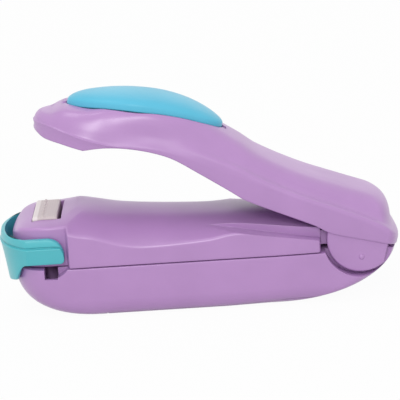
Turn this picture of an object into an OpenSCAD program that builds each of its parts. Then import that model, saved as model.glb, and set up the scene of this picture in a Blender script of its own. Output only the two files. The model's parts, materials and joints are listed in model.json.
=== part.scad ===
/* [Body] */
// Length of the front bay, from the nose to the cells' end wall
front_bay_l = 20.3; // [19.5:0.1:22]
// Room beside the cells, wall included
side_room = 2.45; // [2.35:0.05:4]
// Step from the body's side in to the side of the tail
tail_in = 0.7; // [0:0.1:0.7]
// Height of the seam between the lower case and the deck
seam_z = 13.6; // [13.2:0.1:14.2]
// Shadow gap along the seam
seam_gap = 0.3; // [0.2:0.05:0.4]
// Wall of the lilac mouldings
wall = 1.8; // [1.6:0.1:2]
// Length of the sweep under the nose
nose_sweep_l = 20; // [18:0.5:23]
// Height of the sweep under the nose
nose_sweep_h = 12.5; // [10:0.5:13]
// Length of the sweep under the tail
tail_sweep_l = 32; // [29:0.5:33]
// Height of the sweep under the tail
tail_sweep_h = 14; // [13.6:0.1:15]
// Width of the rounding along the bottom edges
chine_w = 4; // [3:0.25:4.5]
// Height of the rounding along the bottom edges
chine_h = 5; // [4:0.25:6]

/* [Deck] */
// Height of the deck's spine over the seam at the heater
nose_rise = 12; // [11.6:0.1:12.4]
// Height of the deck's spine over the seam in the saddle
saddle_rise = 10.2; // [9.5:0.1:10.6]
// Drop from the spine to the rim in the saddle
saddle_drop = 6.4; // [5:0.1:7]
// Width of the nose between the latch arms
nose_w = 28; // [27:0.2:28.4]
// Rounding of the deck's top edge
deck_edge_r = 0.9; // [0.5:0.1:1.2]

/* [Hinge] */
// Distance from the hinge axis to the back of the open arm
hinge_back = 10.9; // [10.5:0.1:11.5]
// Height of the hinge axis over the seam
hinge_rise = 2.8; // [2.4:0.1:3.2]
// Radius of the half-disc ears
ear_r = 8.8; // [8.2:0.1:9.2]
// Thickness of an ear
ear_t = 2.4; // [2.2:0.1:2.8]
// Gap round an ear in the case
ear_gap = 1; // [0.7:0.1:1.3]
// Diameter of the hinge pin
pin_d = 3; // [2.6:0.1:3.4]
// Outer radius of the hinge barrels on the deck
barrel_r = 5; // [4.6:0.1:5.4]

/* [Arm] */
// Angle by which the arm stands open
open_angle = 14; // [12:0.5:15]
// Width of the arm at its front
arm_w = 26; // [25:0.2:26.6]
// Width of the arm beside the hinge
arm_tail_w = 31; // [30.8:0.2:31.6]
// Height of the closed arm's crown over the seam
arm_rise = 26.6; // [26:0.2:28]
// Height of the arch under the closed arm over the seam
arch_rise = 14.9; // [13.8:0.1:15.6]
// Step of the skirt under the ridge at the nose
skirt_in = 0.2; // [0.1:0.1:0.6]
// Rounding length of the arm's nose
arm_nose_l = 17; // [16:0.5:18]

/* [Thumb pad] */
// Length of the thumb pad
pad_l = 41; // [36:0.5:42]
// Width of the thumb pad
pad_w = 20; // [17:0.5:21]
// Height of the dome over the pad's rim
pad_dome = 3.2; // [2:0.1:4]
// Gap round the thumb pad in its pocket
pad_gap = 0.3; // [0.2:0.05:0.4]

/* [Latch] */
// Reach of the latch in front of the nose
latch_reach = 3.7; // [3.4:0.1:4.2]
// Thickness of the latch band
latch_t = 1.6; // [1.4:0.1:1.8]
// Height of the latch arms
latch_h = 6.8; // [6.4:0.1:7.2]
// Length of the thumb tab below the band
tab_l = 6.4; // [5:0.2:7]
// Distance from the nose back to the latch pivot
pivot_back = 9.7; // [9.4:0.1:10.2]
// Height of the latch pivot over the seam
pivot_rise = 4; // [3.9:0.1:4.4]
// Diameter of the latch trunnions
trunnion_d = 3.2; // [2.8:0.1:3.6]

/* [Heater] */
// Length of the heater head along the body
heater_l = 6.1; // [5.5:0.1:6.5]
// Width of the heater head across the body
heater_w = 16.6; // [15:0.2:17]
// Travel of the heater head
heater_travel = 1.2; // [0.8:0.1:1.4]
// Distance from the nose back to the middle of the heater
heater_back = 9.2; // [9:0.1:9.6]
// Height by which the heater stands over the deck
heater_proud = 0.3; // [0.1:0.1:0.5]
// Width of the heating ribbon
ribbon_w = 2.6; // [2:0.1:3]
// Thickness of the sheet metal and the tape
sheet_t = 0.2; // [0.15:0.05:0.25]

/* [Battery] */
// Diameter of a cell
cell_d = 14.4; // [13.8:0.1:14.5]
// Length of a cell with its button
cell_l = 50.3; // [49:0.1:50.5]
// Thickness of the battery door
door_t = 1.6; // [1.4:0.1:1.8]
// Travel of the battery door
door_travel = 8; // [6:0.5:10]
// Gap round the battery door
door_gap = 0.25; // [0.2:0.05:0.4]

/* [Screws] */
// Diameter of a case screw
screw_d = 2.6; // [2.2:0.1:2.8]
// Diameter of a screw head
screw_head_d = 4.8; // [4.4:0.1:5]

/* [Hidden] */

lilac = "#BD94CB";
teal = "#5FC3CD";
sky = "#6EC5E0";
tape_beige = "#C9C0BB";
steel = "#B8BCC0";
brass = "#C8A24A";

// Running clearance of pins, gap between mouldings that touch, and overshoot of cutting tools
run = 0.05;
fit_gap = 0.3;
over = 1;

// Room at the cells' ends and behind the battery bay, and the gap between the cells
bridge_room = 3.6;
terminal_room = 4.8;
bay_wall = 3;
cell_gap = 0.3;

// Length and widths that follow from the cells
overall_l = latch_reach + front_bay_l + bridge_room + cell_l + terminal_room + bay_wall + ear_r + hinge_back;
body_w = 2 * (cell_d + side_room) + cell_gap;
tail_w = body_w - 2 * tail_in;

// Places along the body
front_x = -overall_l / 2;
nose_x = front_x + latch_reach;
hinge_x = overall_l / 2 - hinge_back;
hinge_z = seam_z + hinge_rise;
tail_x = hinge_x + 10.2;
ear_front = hinge_x - ear_r - ear_gap;
pivot_x = nose_x + pivot_back;
pivot_z = seam_z + pivot_rise;
latch_tail_r = 4.6;
latch_wall_x = pivot_x + latch_tail_r + 0.4;
heater_x = nose_x + heater_back;

// Widths that follow from each other
ear_out = arm_tail_w / 2 - 0.5;
ear_in = ear_out - ear_t;
barrel_w = ear_in - fit_gap;
latch_in = nose_w / 2 + 0.4;
latch_out = latch_in + 2.1;

// Smooth step from 0 at a to 1 at b
function ease(a, b, x) = let (t = min(max((x - a) / (b - a), 0), 1)) t * t * (3 - 2 * t);
function lerp(a, b, t) = a + (b - a) * t;

// Smooth curve through [x, value] knots, level beyond the ends
function knot_slope(k, i) =
    let (a = max(i - 1, 0), b = min(i + 1, len(k) - 1))
    (k[b][1] - k[a][1]) / (k[b][0] - k[a][0]);
function knot_span(k, x, i = 0) =
    i >= len(k) - 2 || x < k[i + 1][0] ? i : knot_span(k, x, i + 1);
function curve(k, x) =
    let (i = knot_span(k, x), h = k[i + 1][0] - k[i][0],
        t = min(max((x - k[i][0]) / h, 0), 1), u = 1 - t)
    k[i][1] * u * u * (1 + 2 * t) + k[i + 1][1] * t * t * (3 - 2 * t)
        + h * t * u * (u * knot_slope(k, i) - t * knot_slope(k, i + 1));

// Half plan outline as [x, share of half width], from the nose tip to the tail tip
nose_steps = 8;
function half_plan(front, back, nose_l, tail_l, power, stations) = concat(
    [for (i = [0 : nose_steps]) let (a = 90 * i / nose_steps)
        [front + nose_l * (1 - pow(cos(a), 2 / power)), pow(sin(a), 2 / power)]],
    [for (x = stations) [x, 1]],
    [for (i = [nose_steps : -1 : 0]) let (a = 90 * i / nose_steps)
        [back - tail_l * (1 - pow(cos(a), 2 / power)), pow(sin(a), 2 / power)]]);

// Closed ring from a half plan, stretched to front and back; half_w takes the plan's x, height takes x and y
function ring(plan, front, back, half_w, height) =
    let (x0 = plan[0][0], x1 = plan[len(plan) - 1][0],
        half = [for (p = plan)
            let (x = lerp(front, back, (p[0] - x0) / (x1 - x0)), y = p[1] * half_w(p[0]))
            [x, y, height(x, y)]])
    concat(half, [for (i = [len(half) - 2 : -1 : 1]) [half[i][0], -half[i][1], half[i][2]]]);

// Closed skin over rings; the first ring is closed facing down and the last one facing up
module skin(rings) {
    n = len(rings[0]);
    top = (len(rings) - 1) * n;
    walls = [for (j = [0 : len(rings) - 2], i = [0 : n - 1])
        let (a = j * n + i, b = j * n + (i + 1) % n)
        each [[a, b, b + n], [a, b + n, a + n]]];
    cap = [for (i = [0 : n / 2 - 1])
        let (a = i, b = i + 1, c = n - i - 1, d = (n - i) % n)
        each concat(b == c ? [] : [[a, b, c]], a == d ? [] : [[a, c, d]])];
    polyhedron(
        [for (r = rings) each r],
        concat(walls, [for (f = cap) [f[2], f[1], f[0]]], [for (f = cap) [f[0] + top, f[1] + top, f[2] + top]]),
        convexity = 8);
}

// Closed tube of six sides along a path
wire_sides = 6;
function unit(v) = v / norm(v);
function path_dir(p, i) = unit(p[min(i + 1, len(p) - 1)] - p[max(i - 1, 0)]);
module wire(path, r, up = [0, 0, 1]) {
    n = wire_sides;
    last = (len(path) - 1) * n;
    points = [for (i = [0 : len(path) - 1])
        let (d = path_dir(path, i), s = unit(cross(d, up)), t = cross(s, d))
        for (k = [0 : n - 1]) path[i] + r * (cos(360 * k / n) * s + sin(360 * k / n) * t)];
    walls = [for (j = [0 : len(path) - 2], k = [0 : n - 1])
        let (a = j * n + k, b = j * n + (k + 1) % n)
        each [[a, b, b + n], [a, b + n, a + n]]];
    ends = [for (k = [1 : n - 2]) each [[0, k + 1, k], [last, last + k, last + k + 1]]];
    polyhedron(points, concat(walls, ends), convexity = 8);
}

// Points of a coil along +Z that can taper from r0 to r1
rings_per_curl = 8;
function coil(r0, r1, length, turns) =
    [for (i = [0 : turns * rings_per_curl])
        let (t = i / (turns * rings_per_curl), a = 360 * i / rings_per_curl, r = lerp(r0, r1, t))
        [r * cos(a), r * sin(a), length * t]];
// Least distance between points of a coil that are at least half a curl apart, less the wire
function self_gap(p, wire_r) = min([for (i = [0 : len(p) - 1])
    for (j = [i + rings_per_curl / 2 : 1 : len(p) - 1]) norm(p[i] - p[j])]) - 2 * wire_r;

// Cylinder along Y between two places
module rod_y(x, z, r, y0, y1) {
    translate([x, y1, z])
        rotate([90, 0, 0])
            cylinder(h = y1 - y0, r = r, $fn = 64);
}
// Box between two corners
module box(low, high) {
    translate(low)
        cube(high - low);
}
// Copies on both sides of the middle plane
module both_sides() {
    children();
    mirror([0, 1, 0])
        children();
}

// Share of the full sweep at height z, for a skin of thickness t
function sweep(h, z, t = 0) = z >= h ? 1 : sqrt(max(1 - pow((h - z) / (h - t), 2), 0));
function case_front(z, t = 0) = nose_x + nose_sweep_l - (nose_sweep_l - t) * sweep(nose_sweep_h, z, t);
function case_back(z, t = 0) = tail_x - tail_sweep_l + (tail_sweep_l - t) * sweep(tail_sweep_h, z, t);
function case_floor(x) = let (u = (nose_x + nose_sweep_l - x) / nose_sweep_l)
    nose_sweep_h * (1 - sqrt(1 - pow(min(max(u, 0), 1), 2)));
function case_chine(z, t = 0) = (chine_w - t) * sweep(chine_h, z, t) - chine_w;
body_half = function (x) lerp(body_w, tail_w, ease(hinge_x - 24, hinge_x - 2, x)) / 2;
deck_half = function (x) lerp(nose_w / 2, body_half(x), ease(latch_wall_x - 0.2, latch_wall_x + 0.7, x));

// Plans of the body, with as many points in each
deck_back = ear_front - 0.3;
mid_step = (deck_back - latch_wall_x) / 8;
deck_stations = concat(
    [for (d = [-0.3, 0.1, 0.4, 0.8]) latch_wall_x + d],
    [for (i = [1 : 7]) latch_wall_x + i * mid_step],
    [deck_back - 2]);
case_stations = concat(
    [for (d = [0, 1, 2, 3]) nose_x + 14 + d * 1.5],
    [for (i = [1 : 7]) latch_wall_x + i * mid_step],
    [hinge_x - 4]);
plan_power = 2.6;
deck_plan = half_plan(nose_x, deck_back, 10.5, 1, plan_power, deck_stations);
case_plan = half_plan(nose_x, tail_x, 14, 8, plan_power, case_stations);
bay_plan = half_plan(nose_x, deck_back, 10.5, 0.3, plan_power, deck_stations);

// Lip inside the seam
lip_h = 1;
lip_in = wall * 0.55;
bay_back = hinge_x - ear_r - bay_wall;

function level(z) = function (x, y) z;
function case_ring(z) =
    ring(case_plan, case_front(z), case_back(z), function (x) body_half(x) + case_chine(z), level(z));
function lip_ring(z, inset) =
    ring(deck_plan, nose_x + inset, bay_back + wall - inset, function (x) deck_half(x) - inset, level(z));
function bay_ring(z) =
    ring(bay_plan, case_front(z, wall) + 1, bay_back, function (x) deck_half(x) - wall + case_chine(z, wall) + wall,
        level(z));
case_levels = 9;
module case_tub() {
    outer = [for (i = [0 : case_levels]) case_ring(seam_z * (1 - cos(90 * i / case_levels)))];
    lip = [lip_ring(seam_z, lip_in), lip_ring(seam_z + lip_h, lip_in), lip_ring(seam_z + lip_h, wall)];
    bay = [for (z = [seam_z - 2, 9, 6, 4, 2.8, wall]) bay_ring(z)];
    skin(concat(outer, lip, bay));
}

// Screws: two in front of the cells and two under the hinge
screw_spots = [[heater_x + 6.8, 5.2], [heater_x + 6.8, -5.2], [hinge_x - 6.2, 7.4], [hinge_x - 6.2, -7.4]];
screw_seat = 6;
screw_top = 18;
boss_r = screw_d / 2 + 1.5;
boss_split = 11;
boss_low = 4;
head_r = screw_head_d / 2 + 0.3;
sleeve_r = head_r + 1;

// Cells lie side by side over the door
cell_r = cell_d / 2;
cell_y = cell_r + cell_gap / 2;
cell_z = door_t + 0.2 + cell_r;
cell_back = bay_back - terminal_room;
cell_front = cell_back - cell_l;
contact_t = 0.4;
bridge_x = cell_front - bridge_room;
plate_x = bay_back - contact_t - 0.6;
plate_h = 10;
bridge_half = 11;
strip_z = seam_z + 1.4;
strip_y = body_w / 2 - 4;
strip_nose_y = nose_w / 2 - 3.6;
strip_w = 1.8;
strip_t = 0.3;

// Battery door
door_front = cell_front + 0.3;
door_back = bay_back + 1;
door_half = cell_d + 0.5;
door_roof = door_t + door_gap;
tongue_w = 6;
tongue_l = 1.6;

// Heater parts stacked from the spring posts up
heater_top = seam_z + nose_rise + heater_proud;
carrier_top = heater_top - 2 * sheet_t - 0.1;
carrier_h = 4.6;
carrier_low = carrier_top - carrier_h;
post_top = 12.6;
post_y = 5.2;
post_x = heater_x;
spring_r = 1.9;
post_r = spring_r + 0.8;
post_low = case_floor(post_x - post_r) + wall / 2;
sleeve_low = case_floor(screw_spots[0][0] - sleeve_r) + 0.3 * wall;
spring_wire_r = 0.35;
peg_h = 1.2;
leg_low = strip_z + heater_travel + 0.15;

module case_fittings() {
    for (s = screw_spots)
        translate([s[0], s[1], boss_low])
            cylinder(h = boss_split - boss_low, r = boss_r, $fn = 48);
    for (s = screw_spots)
        translate([s[0], s[1], sleeve_low])
            cylinder(h = screw_seat + 1.2 - sleeve_low, r = sleeve_r, $fn = 48);
    both_sides()
        translate([post_x, post_y, post_low]) {
            cylinder(h = post_top - post_low, r = post_r, $fn = 48);
            cylinder(h = post_top - post_low + peg_h, r = spring_r - spring_wire_r - 0.25, $fn = 48);
        }
    box([bridge_x - 1.4, -cell_d, wall / 2], [bridge_x - 0.1, cell_d, strip_z - strip_t]);
}

module ear_recesses(r) {
    both_sides()
        rod_y(hinge_x, hinge_z, r, ear_in - fit_gap, body_w);
}

// Space that the arm's tail edge needs where it rests in the open pose
tail_stop = ear_r - 1;
tail_edge_drop = 1.2;
module arm_tail_room() {
    translate([hinge_x, 0, hinge_z])
        rotate([0, open_angle, 0])
            box([tail_stop, -body_w, -tail_edge_drop - fit_gap], [body_w, body_w, body_w]);
}

module case_cuts() {
    box([door_front - door_gap, -door_half - door_gap, -over],
        [door_back + door_travel + door_gap, door_half + door_gap, door_roof]);
    ear_recesses(ear_r + ear_gap);
    arm_tail_room();
    rod_y(hinge_x, hinge_z, barrel_r + fit_gap, -body_w, body_w);
    box([hinge_x - 2, -barrel_w + 2.5, 7.5], [hinge_x + 6.5, barrel_w - 2.5, seam_z + over]);
    intersection() {
        rod_y(pivot_x, pivot_z, latch_tail_r + 1.8, -body_w, body_w);
        both_sides()
            box([pivot_x - 1.1, nose_w / 2 - 0.2, seam_z - 4], [pivot_x + 8, body_w, seam_z + over]);
    }
    both_sides()
        union() {
            box([pivot_x - 1.1, nose_w / 2 - 3, seam_z - 2.5], [pivot_x + 2.3, body_w, seam_z + over]);
            box([pivot_x - 1.1, nose_w / 2 - 3, seam_z - 5], [pivot_x + 2.3, nose_w / 2 + 1.4, seam_z + over]);
        }
    for (s = screw_spots)
        translate([s[0], s[1], 0]) {
            translate([0, 0, -over])
                cylinder(h = screw_seat + over, r = head_r, $fn = 48);
            cylinder(h = boss_split + over, r = screw_d / 2 + 0.15, $fn = 48);
            translate([0, 0, boss_split])
                cylinder(h = seam_z, r = boss_r, $fn = 48);
        }
}

module lower_case() {
    color(lilac)
        difference() {
            union() {
                case_tub();
                case_fittings();
            }
            case_cuts();
        }
}

// Deck surface: a spine along the middle and a drop to the sides
spine_knots = [[nose_x, seam_z + nose_rise - 4], [nose_x + 2.5, seam_z + nose_rise - 1.6],
    [nose_x + 7, seam_z + nose_rise - 0.3], [heater_x + 4, seam_z + nose_rise], [latch_wall_x + 3.5, seam_z + nose_rise + 1.4],
    [latch_wall_x + 14, seam_z + saddle_rise + 1.8], [latch_wall_x + 34, seam_z + saddle_rise],
    [hinge_x - 32, seam_z + saddle_rise - 0.8], [ear_front, seam_z + saddle_rise - 3]];
drop_knots = [[nose_x, 1.5], [nose_x + 7, 2.1], [latch_wall_x, 2.9], [latch_wall_x + 3, 4.6],
    [latch_wall_x + 7, saddle_drop - 1.4], [latch_wall_x + 17, saddle_drop], [latch_wall_x + 24, saddle_drop - 0.4],
    [latch_wall_x + 37, saddle_drop - 2.3], [hinge_x - 32, saddle_drop - 4], [ear_front, saddle_drop - 4.4]];
fall_knots = [[nose_x, 3.2], [latch_wall_x, 3], [latch_wall_x + 8, 2.2], [ear_front, 2.2]];
function deck_z(x, y) =
    curve(spine_knots, x) - curve(drop_knots, x) * pow(abs(y) / (body_w / 2), curve(fall_knots, x));

// Ledge for the arm's skirt, falling from the saddle to the ears
ledge_x = hinge_x - 33;
ledge_high = seam_z + 7.2;
ledge_low = seam_z + 3.4;
ledge_slope = (ledge_low - ledge_high) / (ear_front - ledge_x);
function ledge_z(x) = ledge_high + (x - ledge_x) * ledge_slope;
function rail_half(x) = arm_half(x) - wall - 0.5;

deck_shares = [0.85, 0.66, 0.46, 0.26, 0.08];
function deck_ring(share, inset, drop) =
    let (d = inset + (1 - share) * nose_w / 2)
    ring(deck_plan, nose_x + d, deck_back - d,
        function (x) share * (deck_half(x) - inset), function (x, y) deck_z(x, y) - drop);
function deck_ceiling(share) =
    [for (p = deck_ring(share, wall, wall))
        [p[0], p[1], abs(p[1]) < arm_tail_w / 2 - 3 * wall - 0.5 ? p[2] : min(p[2], ledge_z(p[0]) - wall)]];
function deck_rim(z, inset) =
    ring(deck_plan, nose_x + inset, deck_back - inset, function (x) deck_half(x) - inset, level(z));
module deck_shell() {
    rim = seam_z + seam_gap;
    ceiling = [for (s = [0.1, 0.4, 0.7, 1]) deck_ceiling(s)];
    rebate = [deck_rim(rim + lip_h, wall), deck_rim(rim + lip_h, lip_in - 0.2), deck_rim(rim, lip_in - 0.2)];
    outer = [deck_rim(rim, 0), deck_ring(1, 0, deck_edge_r), deck_ring(1, deck_edge_r * 0.3, deck_edge_r * 0.3),
        deck_ring(1, deck_edge_r, 0)];
    skin(concat(ceiling, rebate, outer, [for (s = deck_shares) deck_ring(s, deck_edge_r, 0)]));
}

window_front = heater_x - heater_l / 2 - 0.4;
window_back = heater_x + heater_l / 2 + 1.2;
window_half = heater_w / 2 + 0.6;
collar_t = 1.1;
collar_low = carrier_low + 0.3;
tongue_low = seam_z + 1.3;
spring_slot = 4.4;
module deck_fittings() {
    box([window_front - collar_t, -window_half - collar_t, collar_low],
        [heater_x + heater_l / 2 + 0.4, window_half + collar_t, seam_z + nose_rise - 1.2]);
    for (s = screw_spots)
        translate([s[0], s[1], boss_split + 0.1])
            cylinder(h = (s[0] < 0 ? deck_z(s[0], s[1]) - wall / 2 : tongue_low + 1) - boss_split - 0.1,
                r = boss_r - 0.2, $fn = 48);
    box([deck_back - wall, -barrel_w, tongue_low], [hinge_x, barrel_w, hinge_z + 2.4]);
    rod_y(hinge_x, hinge_z, barrel_r, -barrel_w, barrel_w);
}
module deck_cuts() {
    box([window_front, -window_half, boss_split - over], [window_back, window_half, seam_z + nose_rise + 5]);
    both_sides()
        rod_y(pivot_x, pivot_z, trunnion_d / 2 + run, nose_w / 2 - wall - 2, nose_w / 2 + over);
    rod_y(hinge_x, hinge_z, pin_d / 2 + run, -body_w, body_w);
    box([hinge_x - 7, -spring_slot, hinge_z - barrel_r - over], [hinge_x + barrel_r + over, spring_slot, hinge_z + barrel_r + over]);
    for (s = screw_spots)
        translate([s[0], s[1], boss_split - over])
            cylinder(h = screw_top + 0.4 - boss_split + over, r = screw_d / 2 + run, $fn = 48);
    both_sides()
        translate([ledge_x, 0, ledge_high])
            rotate([0, -atan(ledge_slope), 0])
                linear_extrude(height = body_w)
                    polygon(concat([for (d = [-6, 0, 6, 12, 18, hinge_x - ledge_x]) [d, rail_half(ledge_x + d)]],
                        [[hinge_x - ledge_x, body_w], [-6, body_w]]));
}
module upper_deck() {
    color(lilac)
        difference() {
            union() {
                deck_shell();
                deck_fittings();
            }
            deck_cuts();
        }
}

module battery_door() {
    color(lilac) {
        intersection() {
            skin([for (i = [0 : case_levels]) case_ring(seam_z * (1 - cos(90 * i / case_levels)))]);
            box([door_front, -door_half, -over], [door_back, door_half, door_t]);
        }
        box([door_front - tongue_l, -tongue_w / 2, wall + 0.1], [door_front + tongue_l, tongue_w / 2, wall + 1]);
        box([door_front, -tongue_w / 2, door_t - 0.4], [door_front + tongue_l, tongue_w / 2, wall + 1]);
    }
}

module case_screws() {
    color(steel)
        for (s = screw_spots)
            translate([s[0], s[1], 0])
                difference() {
                    union() {
                        translate([0, 0, screw_seat - 1.8])
                            cylinder(h = 1.8, r = screw_head_d / 2, $fn = 48);
                        translate([0, 0, screw_seat - 0.5])
                            cylinder(h = screw_top - screw_seat + 0.5, r = screw_d / 2, $fn = 48);
                    }
                    for (a = [0, 90])
                        rotate([0, 0, a])
                            translate([-1.4, -0.35, screw_seat - 3])
                                cube([2.8, 0.7, 2.2]);
                }
}

button_l = 1.2;
module cell(side) {
    color("#4A4E55")
        translate([(cell_front + cell_back) / 2, side * cell_y, cell_z])
            rotate([0, side * 90, 0])
                translate([0, 0, -cell_l / 2]) {
                    cylinder(h = 0.5, r = cell_r - 2, $fn = 64);
                    translate([0, 0, 0.3])
                        cylinder(h = cell_l - button_l - 0.3, r = cell_r, $fn = 64);
                    translate([0, 0, cell_l - button_l - 0.3])
                        cylinder(h = button_l + 0.3, r = 2.7, $fn = 48);
                }
}
module battery_left() {
    cell(1);
}
module battery_right() {
    cell(-1);
}

// Contact plates stand across the cells' ends; a cup meets the button and a tapered coil the flat end
contact_wire_r = 0.3;
coil_turns = 3;
module contact_plate(x, y0, y1, top) {
    box([x, y0, cell_z - plate_h / 2], [x + contact_t, y1, top]);
}
module contact_cup(x, y, length, toward) {
    translate([x, y, cell_z])
        rotate([0, toward * 90, 0])
            cylinder(h = length, r = 2.4, $fn = 48);
}
module contact_coil(x, y, length, toward) {
    path = coil(4.2, 2.4, length - contact_wire_r, coil_turns);
    echo(contact_coil_gap = self_gap(path, contact_wire_r));
    translate([x, y, cell_z])
        rotate([0, toward * 90, 0])
            wire(path, contact_wire_r);
}
module bridge_contact() {
    color(steel)
        union() {
            contact_plate(bridge_x, -bridge_half, bridge_half, cell_z + plate_h / 2);
            contact_cup(bridge_x + contact_t - 0.1, -cell_y, cell_front - bridge_x - contact_t - 0.1, 1);
            contact_coil(bridge_x + contact_t, cell_y, cell_front - bridge_x - contact_t - 0.1, 1);
        }
}
module positive_contact() {
    color(steel)
        union() {
            contact_plate(plate_x, 2, strip_y + strip_w / 2, strip_z - strip_t);
            contact_cup(plate_x + 0.1, cell_y, plate_x - cell_back, -1);
        }
}
module negative_contact() {
    color(steel)
        union() {
            contact_plate(plate_x, -strip_y - strip_w / 2, -2, strip_z - strip_t);
            contact_coil(plate_x, -cell_y, plate_x - cell_back - 0.1, -1);
        }
}

// Strips run over the cells from the plates to under the heater's legs
strip_route = [[plate_x + contact_t, strip_y], [latch_wall_x + 3, strip_y],
    [latch_wall_x + 1, strip_nose_y], [heater_x - 1.2, strip_nose_y]];
module strip() {
    half = strip_w / 2;
    translate([0, 0, strip_z - strip_t])
        linear_extrude(height = strip_t)
            polygon(concat([for (p = strip_route) p + [0, half]],
                [for (i = [len(strip_route) - 1 : -1 : 0]) strip_route[i] - [0, half]]));
}
module switch_strip() {
    color(brass)
        strip();
}
module return_strip() {
    color(brass)
        mirror([0, 1, 0])
            strip();
}

spring_turns = 5;
module heater_springs() {
    path = coil(spring_r, spring_r, carrier_low - post_top - 2 * spring_wire_r, spring_turns);
    echo(heater_spring_gap = self_gap(path, spring_wire_r));
    color(steel)
        both_sides()
            translate([post_x, post_y, post_top + spring_wire_r])
                wire(path, spring_wire_r);
}

module heater_carrier() {
    color("#E8E2D8")
        difference() {
            box([heater_x - heater_l / 2, -heater_w / 2, carrier_low], [heater_x + heater_l / 2, heater_w / 2, carrier_top]);
            both_sides()
                translate([post_x, post_y, carrier_low - over])
                    cylinder(h = 1.6 + over, r = spring_r - spring_wire_r - 0.2, $fn = 48);
        }
}
ribbon_drop = 2.4;
module heating_ribbon() {
    color("#8C8F92")
        difference() {
            box([heater_x - ribbon_w / 2, -heater_w / 2 - sheet_t, carrier_top - ribbon_drop],
                [heater_x + ribbon_w / 2, heater_w / 2 + sheet_t, carrier_top + sheet_t]);
            box([heater_x - ribbon_w, -heater_w / 2, carrier_top - ribbon_drop - over],
                [heater_x + ribbon_w, heater_w / 2, carrier_top]);
        }
}
tape_drop = 2.6;
module release_tape() {
    low = carrier_top - tape_drop;
    skin_low = carrier_top + sheet_t + 0.05;
    color(tape_beige)
        difference() {
            box([heater_x - heater_l / 2 - sheet_t, -heater_w / 2 + 0.2, low],
                [heater_x + heater_l / 2 + sheet_t, heater_w / 2 - 0.2, skin_low + sheet_t]);
            box([heater_x - heater_l / 2, -heater_w, low - over], [heater_x + heater_l / 2, heater_w, skin_low]);
        }
}
leg_w = 3;
module heater_legs() {
    y = heater_w / 2;
    color(brass)
        both_sides() {
            box([heater_x - leg_w / 2, y, leg_low], [heater_x + leg_w / 2, y + strip_t, carrier_top - ribbon_drop]);
            box([heater_x - leg_w / 2, y, leg_low], [heater_x + leg_w / 2, strip_nose_y + strip_w / 2, leg_low + strip_t]);
        }
}

pin_end = ear_out - 0.8;
module hinge_pin() {
    color(steel)
        rod_y(hinge_x, hinge_z, pin_d / 2, -pin_end, pin_end);
}

// Torsion spring between the barrels, one leg on the case and one under the arm's rib
torsion_r = pin_d / 2 + 0.95;
torsion_wire_r = 0.4;
torsion_turns = 4;
torsion_w = 7;
rib_x = hinge_x - 11;
rib_low = hinge_z + 5.5;
module arm_spring() {
    turn = [for (p = coil(torsion_r, torsion_r, torsion_w, torsion_turns))
        [hinge_x - p[1], p[2] - torsion_w / 2, hinge_z - p[0]]];
    echo(arm_spring_gap = self_gap(turn, torsion_wire_r));
    low_leg = [hinge_x - 9.5, -torsion_w / 2, seam_z + torsion_wire_r + 0.1];
    high_leg = arm_point([rib_x + 0.6, torsion_w / 2, rib_low - torsion_wire_r - 0.15]);
    last = turn[len(turn) - 1];
    color(steel)
        wire(concat([low_leg], turn, [last + [-1.5, 0, 0], high_leg]), torsion_wire_r, [0, 1, 0]);
}

// Arm, drawn closed and then turned open about the hinge
function arm_point(p) =
    let (dx = p[0] - hinge_x, dz = p[2] - hinge_z)
    [hinge_x + dx * cos(open_angle) + dz * sin(open_angle), p[1], hinge_z - dx * sin(open_angle) + dz * cos(open_angle)];
module arm_pose() {
    translate([hinge_x, 0, hinge_z])
        rotate([0, open_angle, 0])
            translate([-hinge_x, 0, -hinge_z])
                children();
}
arm_front = nose_x + 2.15;
arm_back = hinge_x + (hinge_back + 0.025) / cos(open_angle);
arm_low = seam_z + nose_rise + heater_proud + fit_gap;
arm_top = seam_z + arm_rise;
pad_x = arm_front + 28.25;
edge_knots = [[arm_front, arm_low + 1.7], [arm_front + 1.5, arm_low + 1.4], [arm_front + 3.2, arm_low + 0.8],
    [arm_front + 4.7, arm_low + 0.5], [arm_front + 8, arm_low + 0.4], [arm_front + 10.7, arm_low + 0.2],
    [arm_front + 13.3, arm_low - 0.1], [arm_front + 14.2, arm_low - 0.1],
    [arm_front + 16, arm_low + 0.5], [arm_front + 19.5, seam_z + arch_rise - 0.8], [arm_front + 24.5, seam_z + arch_rise],
    [arm_front + 31, seam_z + arch_rise + 0.2], [arm_front + 37, seam_z + arch_rise - 0.5],
    [arm_front + 44.5, seam_z + arch_rise - 3], [ledge_x - 2.6, ledge_z(ledge_x) + 1.7],
    [ledge_x + 2, ledge_z(ledge_x + 2) + fit_gap + 0.1], [ear_front - 3, ledge_z(ear_front - 3) + fit_gap + 0.1],
    [ear_front + 1, hinge_z + 0.3], [ear_front + 4, hinge_z], [hinge_x + 6, hinge_z],
    [hinge_x + tail_stop + 0.4, hinge_z - 0.2], [arm_back, hinge_z - tail_edge_drop]];
belt_knots = [[arm_front, seam_z + 15.8], [arm_front + 2.3, seam_z + 16.3], [arm_front + 4.5, seam_z + 16.4],
    [arm_front + 7, seam_z + 16.2], [arm_front + 10.6, seam_z + 15.8], [arm_front + 14, seam_z + 15.4],
    [arm_front + 17, seam_z + arch_rise + 0.2], [arm_front + 20.6, seam_z + arch_rise + 0.1], [arm_front + 31, seam_z + arch_rise + 1],
    [arm_front + 37, seam_z + arch_rise + 0.7], [arm_front + 46, seam_z + 14.2], [ledge_x, seam_z + 12.8],
    [hinge_x - 18, seam_z + 10.2], [hinge_x - 6, seam_z + 8.4], [hinge_x + 4, seam_z + 6.2],
    [arm_back, seam_z + 2.7]];
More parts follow.
